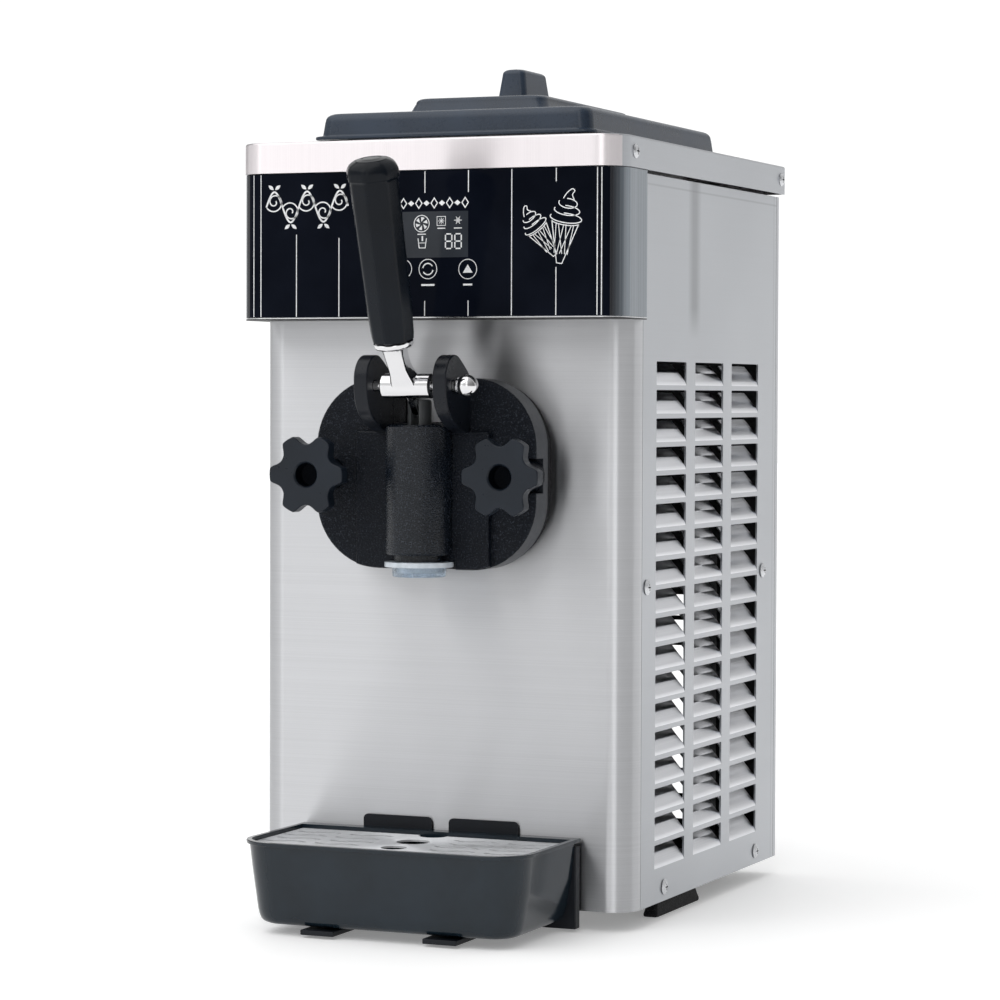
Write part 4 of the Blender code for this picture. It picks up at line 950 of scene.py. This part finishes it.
def ring(bm, middle, radius, width):
    ribbon(bm, arc(middle, radius, 0, 360, 40)[:-1], width, closed=True)


def star(bm, middle, reach, arms, width):
    for arm in range(arms):
        turn = math.pi * arm / arms
        x, z = reach * math.cos(turn), reach * math.sin(turn)
        ribbon(bm, [(middle[0] + s * x, middle[1] + s * z) for s in (-1, 1)], width)


def print_controls(bm):
    # A row of plain lozenges over the window, in place of a title
    for index in range(9):
        x = -0.0133 + 0.0051 * index
        half = 0.0030 if index % 2 == 0 else 0.0017
        shape = [(x - 0.0021, 0.4406), (x, 0.4406 - half), (x + 0.0021, 0.4406), (x, 0.4406 + half)]
        if index % 2:
            patch(bm, shape)
        else:
            ribbon(bm, shape, 0.00065, closed=True)
    # Fan symbol
    fan = (-0.0012, 0.4283)
    ring(bm, fan, 0.0050, 0.0005)
    for blade in range(6):
        turn = 60 * blade
        tip = math.radians(turn + 42)
        leaf = [(fan[0] + x, fan[1] + z) for x, z in arc((0, 0), 0.0039, turn, turn + 34, 4)]
        patch(bm, leaf + [(fan[0] + 0.0011 * math.cos(tip), fan[1] + 0.0011 * math.sin(tip))])
    # Cup symbol
    ribbon(bm, [(-0.0036, 0.4194), (-0.0028, 0.4136), (0.0012, 0.4136), (0.0020, 0.4194)], 0.0005)
    ribbon(bm, [(-0.0031, 0.4166), (0.0014, 0.4166)], 0.0004)
    patch(bm, rectangle((-0.0012, -0.0002), (0.4178, 0.4208)))
    # Crystal and drop symbols in frames
    ribbon(bm, rectangle((0.0090, 0.0146), (0.4270, 0.4324)), 0.00035, closed=True)
    star(bm, (0.0118, 0.4297), 0.0020, 4, 0.00035)
    star(bm, (0.0228, 0.4300), 0.0025, 3, 0.00040)
    ring(bm, (0.0228, 0.4300), 0.0012, 0.00035)
    # Small dashes under the symbols, in place of words
    for x, z, half in ((-0.0012, 0.4216, 0.0028), (0.0118, 0.4250, 0.0026), (0.0228, 0.4250, 0.0026)):
        patch(bm, rectangle((x - half, x + half), (z, z + 0.0006)))
    # Two figures on the display
    for left in (0.0146, 0.0208):
        x = (left, left + 0.0042)
        z = (0.4130, 0.4174, 0.4218)
        gap = 0.0005
        for height in z:
            ribbon(bm, [(x[0] + gap, height), (x[1] - gap, height)], 0.0008)
        for side in x:
            for low, high in ((z[0], z[1]), (z[1], z[2])):
                ribbon(bm, [(side, low + gap), (side, high - gap)], 0.0008)
    # Touch buttons
    for x, z in ((-0.0137, 0.4010), (0.0030, 0.4008), (0.0293, 0.4005)):
        ring(bm, (x, z), 0.0059, 0.00045)
    ribbon(bm, arc((0.0030, 0.4008), 0.0034, 30, 170, 12), 0.0007)
    ribbon(bm, arc((0.0030, 0.4008), 0.0034, 210, 350, 12), 0.0007)
    patch(bm, [(0.0261, 0.3983), (0.0325, 0.3983), (0.0293, 0.4033)])
    patch(bm, rectangle((-0.0152, -0.0122), (0.3990, 0.4030)))
    # Short dashes under the buttons, in place of words
    for x, half in ((-0.0137, 0.0034), (0.0030, 0.0044), (0.0293, 0.0030)):
        patch(bm, rectangle((x - half, x + half), (0.3906, 0.3917)))


def wrap(bm):
    """Bends ink past the flat of the film back round its corner."""
    radius = CORNER + 0.0008 + FILM + GAP
    for vert in bm.verts:
        past = abs(vert.co.x) - (FILM_HALF_WIDTH - radius)
        if past > 0:
            vert.co.y += radius - math.sqrt(radius**2 - past**2)
    return bm


def make_prints():
    bm = bmesh.new()
    patch(bm, rectangle((-0.0140, 0.0295), (0.4077, 0.4356)))
    bmesh.ops.translate(bm, vec=(0, 0.000045, 0), verts=bm.verts)
    piece("display_window", outward(bm), "window")
    for name, draw in (
        ("ink_stripes", print_stripes), ("ink_flourish", print_flourish),
        ("ink_cones", print_cones), ("ink_controls", print_controls),
    ):
        bm = bmesh.new()
        draw(bm)
        piece(name, outward(wrap(bm)), "print")


def make_feet():
    shape = (
        (0.0006, 0), (0, 0.0006), (0, 0.0020), (0.0014, 0.0045), (0.0042, UNDERSIDE - 0.0012),
        (0.0050, UNDERSIDE - GAP),
    )
    for side, word in SIDES:
        for place, x, y, wide, long in FEET:
            rings = []
            for inset, z in shape:
                half_x, half_y = wide - inset * 0.4, long - inset
                across = (side * x - half_x, side * x + half_x)
                rings.append((rounded(across, (y - half_y, y + half_y), 0.002, 5), z))
            name = f"foot_{place}_{word}"
            piece("moulded_" + name, stack(rings), "black_rubber", replaces=[name])


# Hopper and lid
def make_hopper():
    def basin(inset, radius):
        return rounded(
            (-HOPPER_HALF_WIDTH + inset, HOPPER_HALF_WIDTH - inset),
            (HOPPER_FRONT + inset, HOPPER_BACK - inset), radius, 8,
        )

    def bowl(wall, radius, floor, bend):
        """Rings from the floor up through its rounded edge."""
        rings = [(basin(0.006 + wall, radius), floor)]
        for x, z in arc((0, bend), 0.006, 270, 360, 5):
            rings.append((basin(0.006 + wall - x, radius + x / 3), z))
        return rings

    outer = bowl(0, 0.012, HOPPER_FLOOR - SHEET, HOPPER_FLOOR + 0.0048)
    body = stack([*outer, (basin(0, 0.014), COVER_TOP + 0.001)])
    flange = rounded((-0.089, 0.089), (0.0155, 0.2445), 0.008, 6)
    flange = prism("z", COVER_TOP + GAP, COVER_TOP + 0.0018, flange)
    collar = rounded((-0.0805, 0.0805), (0.0275, 0.2325), 0.016, 8)
    collar = prism("z", COVER_TOP + 0.001, COVER_TOP + 0.009, collar)
    inner = bowl(SHEET, 0.011, HOPPER_FLOOR, HOPPER_FLOOR + 0.006)
    hollow = stack([*inner, (basin(SHEET, 0.0128), 0.5)])
    drain = rod((0, 0.062, 0.30), (0, 0.062, 0.40), 0.0075, sides=32)
    made = cut(join(body, flange, collar), hollow, drain)
    piece("mix_basin", made, "hopper_steel", replaces=["hopper"])


def rounded_top(outline, side_inset, top, radius):
    """Rings that round off the top edge of a tapered form. outline(inset) gives one ring."""
    return [
        (outline(side_inset + radius - radius * math.cos(t)), top - radius + radius * math.sin(t))
        for t in (math.pi / 2 * i / 6 for i in range(7))
    ]


def make_lid():
    def outline(inset, radius=0.009):
        return rounded((-0.0946 + inset, 0.0946 - inset), (0.009 + inset, 0.251 - inset), radius, 8)

    def step(inset):
        return rounded((-0.0455 + inset, 0.0455 - inset), (0.0515 + inset, 0.2085 - inset), 0.0085, 8)

    def handle(inset):
        return rounded((-0.0085 + inset, 0.0085 - inset), (0.1085 + inset, 0.1515 - inset), 0.0045, 6)

    brim = ((0.0004, 0), (0, 0.0004), (0, 0.0016), (0.0004, 0.0020), (0.0026, 0.0022), (0.0034, 0.0030))
    rings = [(outline(inset), LID_BOTTOM + rise) for inset, rise in brim]
    rings += [(outline(0.0044), 0.4952), *rounded_top(outline, 0.0046, 0.5008, 0.0048)]
    lid = stack([*rings, (outline(0.030), 0.5012)])
    rings = [(step(-0.0050), 0.4990), (step(-0.0042), 0.5012), (step(-0.0020), 0.5030), (step(0), 0.5075)]
    lift = stack([*rings, *rounded_top(step, 0.0006, 0.5120, 0.0034), (step(0.012), 0.5122)])
    rings = [(handle(-0.0040), 0.5105), (handle(-0.0024), 0.5130), (handle(-0.0014), 0.5165)]
    rings.append((handle(0.0004), 0.5300))
    knob = stack([*rings, *rounded_top(handle, 0.0005, 0.5343, 0.0034), (handle(0.0055), 0.5345)])
    under = stack([(outline(0.0065, 0.006), 0.48), (outline(0.0085, 0.006), 0.4972)])
    lid = cut(join(lid, lift, knob), under)
    piece("lid_shell", lid, "lid_plastic", "lid", ["hopper_lid"])


# Dispensing door
def door_outline(inset=0.0):
    """Rounded plate with an open notch between the ears, as (x, z)."""
    x = (-DOOR_HALF_WIDTH + inset, DOOR_HALF_WIDTH - inset)
    z = (DOOR_BOTTOM + inset, DOOR_TOP - inset)
    shape = rounded(x, z, DOOR_CORNER, 16)
    floor = BARREL_TOP + 0.0008
    notch = [(EAR_INNER, z[1]), (EAR_INNER, floor), (-EAR_INNER, floor), (-EAR_INNER, z[1])]
    upper_left = 3 * len(shape) // 4
    return shape[:upper_left] + notch + shape[upper_left:]


def band_outline():
    """The raised middle band, whose lower corners follow the plate's, as (x, z)."""
    middle = DOOR_HALF_WIDTH - DOOR_CORNER
    radius = DOOR_CORNER - 0.0006
    widest = math.asin((BAND_HALF_WIDTH - middle) / radius)
    right = []
    for index in range(9):
        turn = widest * index / 8
        right.append((middle + radius * math.sin(turn), DOOR_BOTTOM + DOOR_CORNER - radius * math.cos(turn)))
    right += arc((BAND_HALF_WIDTH - 0.0015, BARREL_TOP - 0.0055), 0.0015, 0, 90, 3)
    return [(-x, z) for x, z in reversed(right)] + right


def make_door():
    plate_shape = prism("y", DOOR_FRONT, DOOR_REAR, door_outline())
    door = soften(plate_shape, 0.0014, 3, 50, at("y", DOOR_FRONT, DOOR_REAR))
    band = prism("y", DOOR_FRONT - 0.004, DOOR_FRONT + 0.002, band_outline())
    band = soften(band, 0.0009, 3, 50, at("y", DOOR_FRONT - 0.004))
    edge = [(0, 0), (BARREL_RADIUS - 0.001, 0), (BARREL_RADIUS, 0.001)]
    height = BARREL_TOP - BARREL_BOTTOM
    edge += [(BARREL_RADIUS, height - 0.0012), (BARREL_RADIUS - 0.0012, height), (0, height)]
    barrel = turned(edge, (0, SPOUT_Y, BARREL_BOTTOM), steps=72)
    spout = rod((0, SPOUT_Y, 0.2238), (0, SPOUT_Y, BARREL_BOTTOM + 0.001), 0.0155, sides=48)
    plug = rod((0, DOOR_REAR - 0.001, AXIS_Z), (0, 0.0080, AXIS_Z), 0.0284, sides=64)
    door = join(door, band, barrel, spout, plug)
    for side in (-1, 1):
        lower = [
            (-0.0300, 0.3016), (-0.0350, 0.3022), (-0.0430, 0.3046), (-0.0510, 0.3086), (-0.0572, 0.3132),
            (-0.0612, 0.3185), (-0.0632, 0.3245), (-0.0637, 0.3300),
        ]
        outline = [(-0.0253, 0.3014), *smooth_line(lower, 4)]
        outline += arc((-0.0490, 0.3338), 0.0148, -176, -292, 24)
        outline += [(-0.0360, 0.3432), (-0.0300, 0.3390), (-0.0262, 0.3356), (-0.0253, 0.3342)]
        low, high = sorted((side * EAR_INNER, side * EAR_OUTER))
        door = join(door, soften(prism("x", low, high, outline), 0.0009, 3, 50, at("x", low, high)))
    tools = [
        rod((0, SPOUT_Y, 0.21), (0, SPOUT_Y, 0.2239), 0.0226, sides=64),
        rod((0, SPOUT_Y, 0.21), (0, SPOUT_Y, 0.32), 0.0125, sides=48),
        rod((0, SPOUT_Y, 0.258), (0, 0.02, 0.258), 0.0070, sides=32),
        rod((-0.05, PIVOT.y, PIVOT.z), (0.05, PIVOT.y, PIVOT.z), 0.0038, sides=32),
    ]
    for side in (-1, 1):
        x = side * STUD_X
        low, high = sorted((x, side * 0.09))
        tools += [
            block((low, high), (DOOR_FRONT - 0.01, -0.0145), (AXIS_Z - 0.0105, AXIS_Z + 0.0105)),
            rod((x, DOOR_FRONT - 0.01, AXIS_Z), (x, -0.0145, AXIS_Z), 0.0105, sides=40),
            rod((x, -0.02, AXIS_Z), (x, 0.01, AXIS_Z), 0.0047, sides=24),
        ]
    made = piece(
        "door_moulding", cut(door, *tools), ["door_plastic", "door_smooth", "door_rim_painted_light", "barrel_plastic_painted_highlight"],
        replaces=["freezer_door"],
    )
    # The barrel takes the lighter copy of the door plastic: painted highlight
    paint(made, 3, lambda x, y, z, normal: (
        math.hypot(x, y - SPOUT_Y) < BARREL_RADIUS + 0.0015 and y < SPOUT_Y + 0.006
    ))
    paint(made, 1, lambda x, y, z, normal: (
        EAR_INNER - 0.001 < abs(x) < EAR_OUTER + 0.001 and z > 0.3 and y < DOOR_FRONT
    ))
    # The door's side faces take the lighter copy: painted light
    paint(made, 2, lambda x, y, z, normal: y > DOOR_FRONT + 0.0016 and abs(x) > 0.03)
    holes = [arc((0, AXIS_Z), 0.0320, 0, 354, 59)]
    holes += [arc((side * STUD_X, AXIS_Z), 0.0050, 0, 340, 17) for side in (-1, 1)]
    gasket = plate("y", DOOR_REAR + GAP, -GAP, door_outline(0.0010), holes)
    piece("seal_ring", gasket, "black_rubber", replaces=["door_gasket"])


def star_outline(x, z):
    """Six flat-tipped lobes with round hollows between them, as (x, z)."""
    points = []
    tip, floor = 0.0246, 0.0184
    for lobe in range(6):
        for turn, part in (
            (-11, 0.90), (-9, 0.985), (-6, 1.0), (0, 1.0), (6, 1.0), (9, 0.985), (11, 0.90), (14, 0.66),
            (17.5, 0.36), (22, 0.12), (26, 0.03), (30, 0.0), (34, 0.03), (38, 0.12), (42.5, 0.36), (46, 0.66),
        ):
            angle = math.radians(60 * lobe + turn)
            radius = floor + (tip - floor) * part
            points.append((x + radius * math.cos(angle), z + radius * math.sin(angle)))
    return points


def make_knobs():
    for side, word in SIDES:
        x = side * STUD_X
        faces = (KNOB_FRONT, KNOB_FRONT + 0.009)
        star = soften(prism("y", *faces, star_outline(x, AXIS_Z)), 0.0010, 3, 60, at("y", *faces))
        profile = [
            (0, 0.0080), (0.0130, 0.0080), (0.0125, 0.0092), (0.0106, 0.0104), (0.0098, 0.0125),
            (0.0096, 0.0150), (0.0094, 0.0452 - 0.0008), (0.0088, 0.0452), (0, 0.0452),
        ]
        boss = turned(profile, (x, KNOB_FRONT, AXIS_Z), (0, 1, 0), 48)
        profile = [
            (0, -0.005), (0.0100, -0.005), (0.0081, 0), (0.0073, 0.0010), (0.0069, 0.0092), (0.0044, 0.0105),
            (0, 0.0105),
        ]
        eye = turned(profile, (x, KNOB_FRONT, AXIS_Z), (0, 1, 0), 40)
        thread = rod((x, KNOB_FRONT + 0.0122, AXIS_Z), (x, 0, AXIS_Z), 0.0044, sides=24)
        made = piece(
            "moulded_star_knob_" + word, cut(join(star, boss), eye, thread),
            ["knob_plastic", "knob_eye_painted_shade"], "knob_" + word, ["star_knob_" + word],
        )
        # The eye's faces are painted near-black: painted shade in the hollow
        paint(made, 1, lambda a, b, c, normal: (
            math.hypot(a - x, c - AXIS_Z) < 0.0074 and b > KNOB_FRONT + 0.002
        ))
        stud = join(
            rod((x, -0.0485, AXIS_Z), (x, 0.0055, AXIS_Z), 0.0040, sides=24),
            rod((x, SHEET + GAP, AXIS_Z), (x, SHEET + 0.0035, AXIS_Z), 0.0085, sides=6),
        )
        piece("threaded_stud_" + word, stud, "chrome", replaces=["stud_" + word])


def bar_section(middle, along, half_x, half_y, radius):
    """A rounded rectangle square to a direction in the middle plane of the machine."""
    side = Vector((1, 0, 0))
    depth = Vector(along).cross(side).normalized()
    outline = rounded((-half_x, half_x), (-half_y, half_y), radius, 5)
    return [tuple(Vector(middle) + side * a + depth * b) for a, b in outline]


def make_lever():
    half = 0.0173
    profile = [(0, -0.0158), (0.0064, -0.0158), (0.0075, -0.0147)]
    profile += [(0.0075, half - 0.0011), (0.0064, half), (0, half)]
    hub = turned(profile, PIVOT, (1, 0, 0), 64)
    along = (ARM_TOP - PIVOT).normalized()
    length = (ARM_TOP - PIVOT).length
    rings = []
    for t, half_x, half_y, radius in (
        (0.02, 0.0088, 0.0062, 0.0030), (0.22, 0.0080, 0.0058, 0.0028), (0.36, 0.0066, 0.0052, 0.0022),
        (0.50, 0.0060, 0.0050, 0.0018), (0.66, 0.0060, 0.0050, 0.0018), (0.80, 0.0062, 0.0053, 0.0020),
        (0.91, 0.0068, 0.0060, 0.0030), (0.99, 0.0080, 0.0075, 0.0055),
    ):
        bow = 0.0012 * math.sin(math.pi * t)
        middle = PIVOT + along * length * t + Vector((0, -bow, -bow))
        heading = along.lerp(LEAN, max(0.0, t - 0.45)).normalized()
        rings.append(bar_section(middle, heading, half_x, half_y, radius))
    arm = loft(rings)
    profile = [
        (0, -0.0032), (0.0085, -0.0032), (0.0112, -0.0022), (0.0120, -0.0010), (0.0120, 0.0008),
        (0.0114, 0.0014), (0, 0.0014),
    ]
    collar = turned(profile, ARM_TOP, LEAN, 64)
    tang = rod(ARM_TOP, ARM_TOP + LEAN * 0.040, 0.0042, sides=24)
    outline = rounded((0, 0.0245), (-0.0020, 0.0020), 0.0018, 5)
    tongue = soften(prism("x", -0.0020, 0.0020, outline), 0.0004, 2, 50)
    tongue.transform(Matrix.Translation(PIVOT) @ Matrix.Rotation(math.radians(-50), 4, "X"))
    bore = rod((-0.03, PIVOT.y, PIVOT.z), (0.03, PIVOT.y, PIVOT.z), 0.0038, sides=40)
    made = cut(join(hub, arm, collar, tang, tongue), bore)
    piece("lever_casting", made, "chrome", "handle", ["draw_lever"], 40)


def make_pin():
    profile = [(0, -0.0340), (0.0028, -0.0340), (0.0034, -0.0334)]
    profile += [(0.0034, 0.0318), (0.0042, 0.0324), (0.0050, 0.0334)]
    profile += arc((0, 0.0392), 0.0068, -56, 90, 16)
    profile[-1] = (0, 0.0460)
    pin = turned(profile, PIVOT, (1, 0, 0), 40)
    piece("pin_with_ball", pin, "chrome", "pin", ["pivot_pin"], 40)


def make_grip():
    """A grip of eight facets whose ends melt into a rounded cap."""
    facets, offset = 8, math.radians(7)
    profile = [
        (0.0119, 0), (0.0131, 0.0008), (0.0136, 0.0045), (0.0143, 0.0190), (0.0149, 0.0600), (0.0154, 0.0968),
    ]
    dome = [
        (0.0156, 0.0980), (0.0164, 0.0990), (0.01655, 0.1010), (0.0163, 0.1034), (0.0154, 0.1056),
        (0.0139, 0.1075), (0.0120, 0.1088), (0.0104, 0.1096), (0.0098, 0.1094), (0.0092, 0.1099),
        (0.0064, 0.1104), (0.0057, 0.1101), (0.0050, 0.1104), (0.0026, 0.1105), (0.0006, 0.1104),
    ]
    rings = []
    for index, (radius, height) in enumerate(profile + dome):
        roundness = 0.03 if index < len(profile) + 3 else min(1.0, 0.12 * (index - len(profile) - 2))
        ring_points = []
        for i in range(facets * 8):
            turn = 2 * math.pi * (i + 0.5) / (facets * 8)
            heading = turn + offset
            local = (turn % (2 * math.pi / facets)) - math.pi / facets
            flat = math.cos(math.pi / facets) / math.cos(local)
            flat = min(flat, math.cos(math.pi / facets) / math.cos(math.pi / facets * 0.86))
            reach = radius * (flat + (1 - flat) * roundness)
            ring_points.append((reach * math.cos(heading), reach * math.sin(heading), height))
        rings.append(ring_points)
    grip = cut(loft(rings), rod((0, 0, -0.01), (0, 0, 0.042), 0.0048, sides=24))
    grip.transform(Matrix.Translation(ARM_TOP + LEAN * (0.0014 + GAP)) @ toward(LEAN))
    piece("grip_moulding", outward(grip), "grip_plastic", "handle", ["handle_grip"], 28)


def make_valve():
    groove, body = 0.0104, 0.0120
    profile = [
        (0, 0.3220), (0.0058, 0.3220), (0.0068, 0.3216), (0.0073, 0.3206), (0.0073, 0.2925), (0.0080, 0.2912),
        (0.0110, 0.2905), (body, 0.2895), (body, 0.2850), (groove, 0.2850), (groove, 0.2815), (body, 0.2815),
        (body, 0.2380), (groove, 0.2380), (groove, 0.2345), (body, 0.2345), (body, 0.2312), (0.0105, 0.2295),
        (0, 0.2295),
    ]
    piston = turned(profile, (0, SPOUT_Y, 0), steps=48)
    fork = block((-0.0026, 0.0026), (SPOUT_Y - 0.02, SPOUT_Y + 0.02), (0.3050, 0.33))
    bar = rod((-0.0050, SPOUT_Y, 0.3175), (0.0050, SPOUT_Y, 0.3175), 0.0015, sides=20)
    piston = join(cut(piston, fork), bar)
    piece("draw_piston", piston, "grey_acetal", "piston", ["valve_piston"])


def make_nozzle():
    profile = [
        (0.0095, 0.2280), (0.0118, 0.2280), (0.0120, 0.2278), (0.0120, 0.2236), (0.0208, 0.2236),
        (0.0211, 0.2233), (0.0211, 0.2208), (0.0208, 0.2205), (0.0168, 0.2203), (0.0166, 0.2198),
        (0.0163, 0.2149), (0.0159, 0.2145), (0, 0.2145), (0, 0.2170), (0.0095, 0.2170),
    ]
    cap = turned([*profile, profile[0]], (0, SPOUT_Y, 0), steps=64)
    points = []
    for index in range(12):
        radius = 0.0072 if index % 2 else 0.0042
        turn = math.radians(30 * index)
        points.append((radius * math.cos(turn), SPOUT_Y + radius * math.sin(turn)))
    cap = cut(cap, prism("z", 0.20, 0.2200, points))
    made = piece(
        "nozzle_cap", cap, ["nozzle_plastic", "nozzle_cap_plastic"], "spout", ["nozzle"]
    )
    paint(made, 1, lambda x, y, z, normal: z < 0.2202)


# Drip tray
def tray_outline(inset, back=TRAY_BACK):
    wide = TRAY_HALF_WIDTH - inset
    return rounded((-wide, wide), (TRAY_FRONT + inset, back), 0.026 - inset, 12, (1, 1, 0, 0))


def make_tray():
    rim, draft = TRAY_RIM, TRAY_DRAFT
    # The rounded foot and the lip, as (inset, distance from the bottom or the rim)
    foot = (
        (0.0085, 0), (0.0054, 0.0003), (0.0029, 0.0012), (0.0012, 0.0028), (0.0002, 0.0053),
        (-0.0007, 0.0090),
    )
    lip = ((0.0004, 0.0023), (0.0001, 0.0019), (0, 0.0005), (0.0003, 0.0001), (0.0007, 0))
    levels = [(tray_outline(draft + inset), TRAY_BOTTOM + rise) for inset, rise in foot]
    levels += [(tray_outline(0.0035), TRAY_CREASE)]
    levels += [(tray_outline(0.0020), rim - 0.0030), (tray_outline(0.0018), rim - 0.0026)]
    levels += [(tray_outline(inset, -0.0022), rim - drop) for inset, drop in lip]
    # The crease round the walls slopes down to the right
    slopes = [TRAY_CREASE_SLOPE if z == TRAY_CREASE else 0 for outline, z in levels]
    tray = loft([[(x, y, z + slope * x) for x, y in outline] for (outline, z), slope in zip(levels, slopes)])
    recess = [(tray_outline(0.0034, -0.0108), rim - 0.0040), (tray_outline(0.0030, -0.0108), rim + 0.01)]
    basin = stack([
        (tray_outline(draft + 0.0045, -0.0140), TRAY_BOTTOM + 0.0025),
        (tray_outline(0.0058, -0.0140), rim - 0.0035), (tray_outline(0.0058, -0.0140), rim),
    ])
    tray = cut(tray, stack(recess), basin)
    piece("tray_moulding", tray, "tray_plastic", "tray", ["drip_tray"])


def wavy_slot(x, y):
    half, wave, wide = 0.0132, 0.0024, 0.0017
    steps = [-1 + i / 8 for i in range(17)]
    middle = [(x + half * s, y + wave * math.sin(math.pi * s)) for s in steps]
    upper = [(a, b + wide) for a, b in middle]
    lower = [(a, b - wide) for a, b in middle]
    right = arc((middle[-1][0], middle[-1][1]), wide, -60, 60, 4)
    left = arc((middle[0][0], middle[0][1]), wide, 120, 240, 4)
    return lower + right + upper[::-1] + left


def make_grate():
    low = TRAY_RIM - 0.0040 + GAP
    back = -0.0113
    outline = tray_outline(0.0040, back)
    notch = arc((0, back), 0.009, 360, 180, 16)
    outline = outline[:-1] + notch + outline[-1:]
    slots = []
    for row in range(5):
        y = -0.0260 - 0.0145 * row
        outwards = (0, 0.003, 0, 0.003, -0.002)[row]
        for x in (-0.0705, -0.0350, 0.0350, 0.0705):
            slots.append(wavy_slot(x + outwards * (1 if x > 0 else -1), y))
    holes = [arc((0, -0.042), 0.0102, 0, 352, 44), arc((0, -0.070), 0.0078, 0, 352, 44)]
    grate = plate("z", low, low + 0.0012, outline, slots + holes)
    piece("tray_grille", grate, "grate_steel", "grate", ["tray_grate"])


def make_bracket():
    bracket = soften(block((-0.0925, 0.0925), (-0.0080, -0.0008), (0.0016, 0.0520)), 0.0008, 3, 50)
    for side in (-1, 1):
        x = sorted((side * 0.0058, side * 0.0520))
        tab = prism("y", -0.0019, -0.0008, rounded(x, (0.045, 0.0640), 0.0030, 6))
        x = sorted((side * 0.029, side * 0.051))
        arm = soften(block(x, (-0.0930, -0.0010), (0.0016, 0.0048)), 0.0006, 2, 50)
        bracket = join(bracket, tab, arm)
    piece("tray_holder", bracket, "bracket_plastic", replaces=["tray_bracket"])


# Nodes whose own shape shows, with better materials
NODE_LOOKS = {
    "galvanised": ("base_pan", "inner_frame", "fan_shroud"),
    "window": ("display_module",),
    "circuit_board": ("control_board",),
    "white_acetal": ("air_tube", "beater"),
    "hopper_steel": ("freezing_cylinder",),
    "nitrile_foam": ("insulation_jacket",),
    "black_rubber": ("shaft_seal", "drive_belt", "piston_seal_upper", "piston_seal_lower"),
    "cast_alloy": ("gearbox", "gearbox_pulley", "motor_pulley", "fan_motor"),
    "chrome": ("drive_shaft",),
    "black_paint": ("drive_motor", "compressor", "fan_blade"),
    "condenser_fins": ("condenser",),
    "bracket_plastic": ("cord_gland", "switch_housing"),
    "switch_red": ("power_switch",),
}


def dress_nodes():
    for look, names in NODE_LOOKS.items():
        for name in names:
            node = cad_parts[name]
            node.data.materials.clear()
            node.data.materials.append(looks[look])
            bevel = node.modifiers.new("edges", "BEVEL")
            bevel.width = 0.0003
            bevel.segments = 2
            bevel.limit_method = "ANGLE"
            bevel.angle_limit = math.radians(40)


# Floor, lights and surroundings
def make_surroundings():
    """Soft light and dark screens round the machine, by compass angle, and an even ceiling."""
    world = bpy.data.worlds.new("studio")
    nodes = Nodes(world)
    scene.world = world

    def ramp(value, stops):
        made = nodes.node("ShaderNodeValToRGB", Fac=value)
        made.color_ramp.interpolation = "EASE"
        elements = made.color_ramp.elements
        while len(elements) < len(stops):
            elements.new(0.5)
        for element, (position, shade) in zip(elements, stops):
            element.position = position
            element.color = (shade, shade, shade, 1)
        return made.outputs["Color"]

    place = nodes.node("ShaderNodeTexCoord").outputs["Generated"]
    parts = nodes.node("ShaderNodeSeparateXYZ", Vector=place).outputs
    turn = nodes.maths("ARCTAN2", parts["X"], nodes.maths("MULTIPLY", parts["Y"], -1.0))
    share = nodes.maths("MULTIPLY_ADD", turn, 1 / (2 * math.pi), 0.5)
    round_about = ramp(share, [((angle + 180) / 360, value / 2) for angle, value in STUDIO_STOPS])
    height = nodes.node(
        "ShaderNodeMapRange", {"interpolation_type": "SMOOTHSTEP"},
        Value=parts["Z"], From_Min=0.45, From_Max=0.85, To_Max=0.30,
    ).outputs["Result"]
    # A dark strip a little above eye level, for the polished parts to mirror
    strip = ramp(parts["Z"], ((0.13, 0.0), (0.20, 0.35), (0.31, 0.35), (0.42, 0.0)))
    shade = nodes.blend(strip, nodes.blend(height, round_about, (0.48,) * 3), (0.05,) * 3)
    back = nodes.tree.nodes["Background"]
    nodes.set(back, "Color", shade)
    nodes.set(back, "Strength", 2.0)


def make_studio():
    look = Look("pale_floor", (0.93, 0.93, 0.93), 0.55)
    cloud = look.noise(look.place, 1.5, 2.0, 0.5)
    look.give("Base Color", look.tint(cloud, (0.96,) * 3, (0.98,) * 3))
    look.give("Specular IOR Level", 0.1)
    look.give("Emission Color", (1, 1, 1, 1))
    look.give("Emission Strength", 0.22)
    bm = bmesh.new()
    bmesh.ops.create_circle(bm, cap_ends=True, radius=14, segments=96)
    mesh = bpy.data.meshes.new("floor")
    bm.to_mesh(mesh)
    bm.free()
    mesh.materials.append(look.material)
    floor = bpy.data.objects.new("floor", mesh)
    floor.location.z = -0.0002
    scene.collection.objects.link(floor)
    make_surroundings()
    sun = bpy.data.lights.new("sun", "SUN")
    sun.energy = 0.85
    sun.angle = math.radians(75)
    obj = bpy.data.objects.new("sun", sun)
    obj.rotation_euler = (Vector((0.45, 0.40, -1.0))).to_track_quat("-Z", "Y").to_euler()
    scene.collection.objects.link(obj)
    scene.view_settings.view_transform = "Standard"


for make in (
    make_looks, make_camera, make_studio, make_front_panel, make_side_panels, make_rear_panel, make_top_cover,
    make_screws, make_head, make_prints, make_feet, make_hopper, make_lid, make_door, make_knobs,
    make_lever, make_pin, make_grip, make_valve, make_nozzle, make_tray, make_grate, make_bracket,
    dress_nodes,
):
    make()
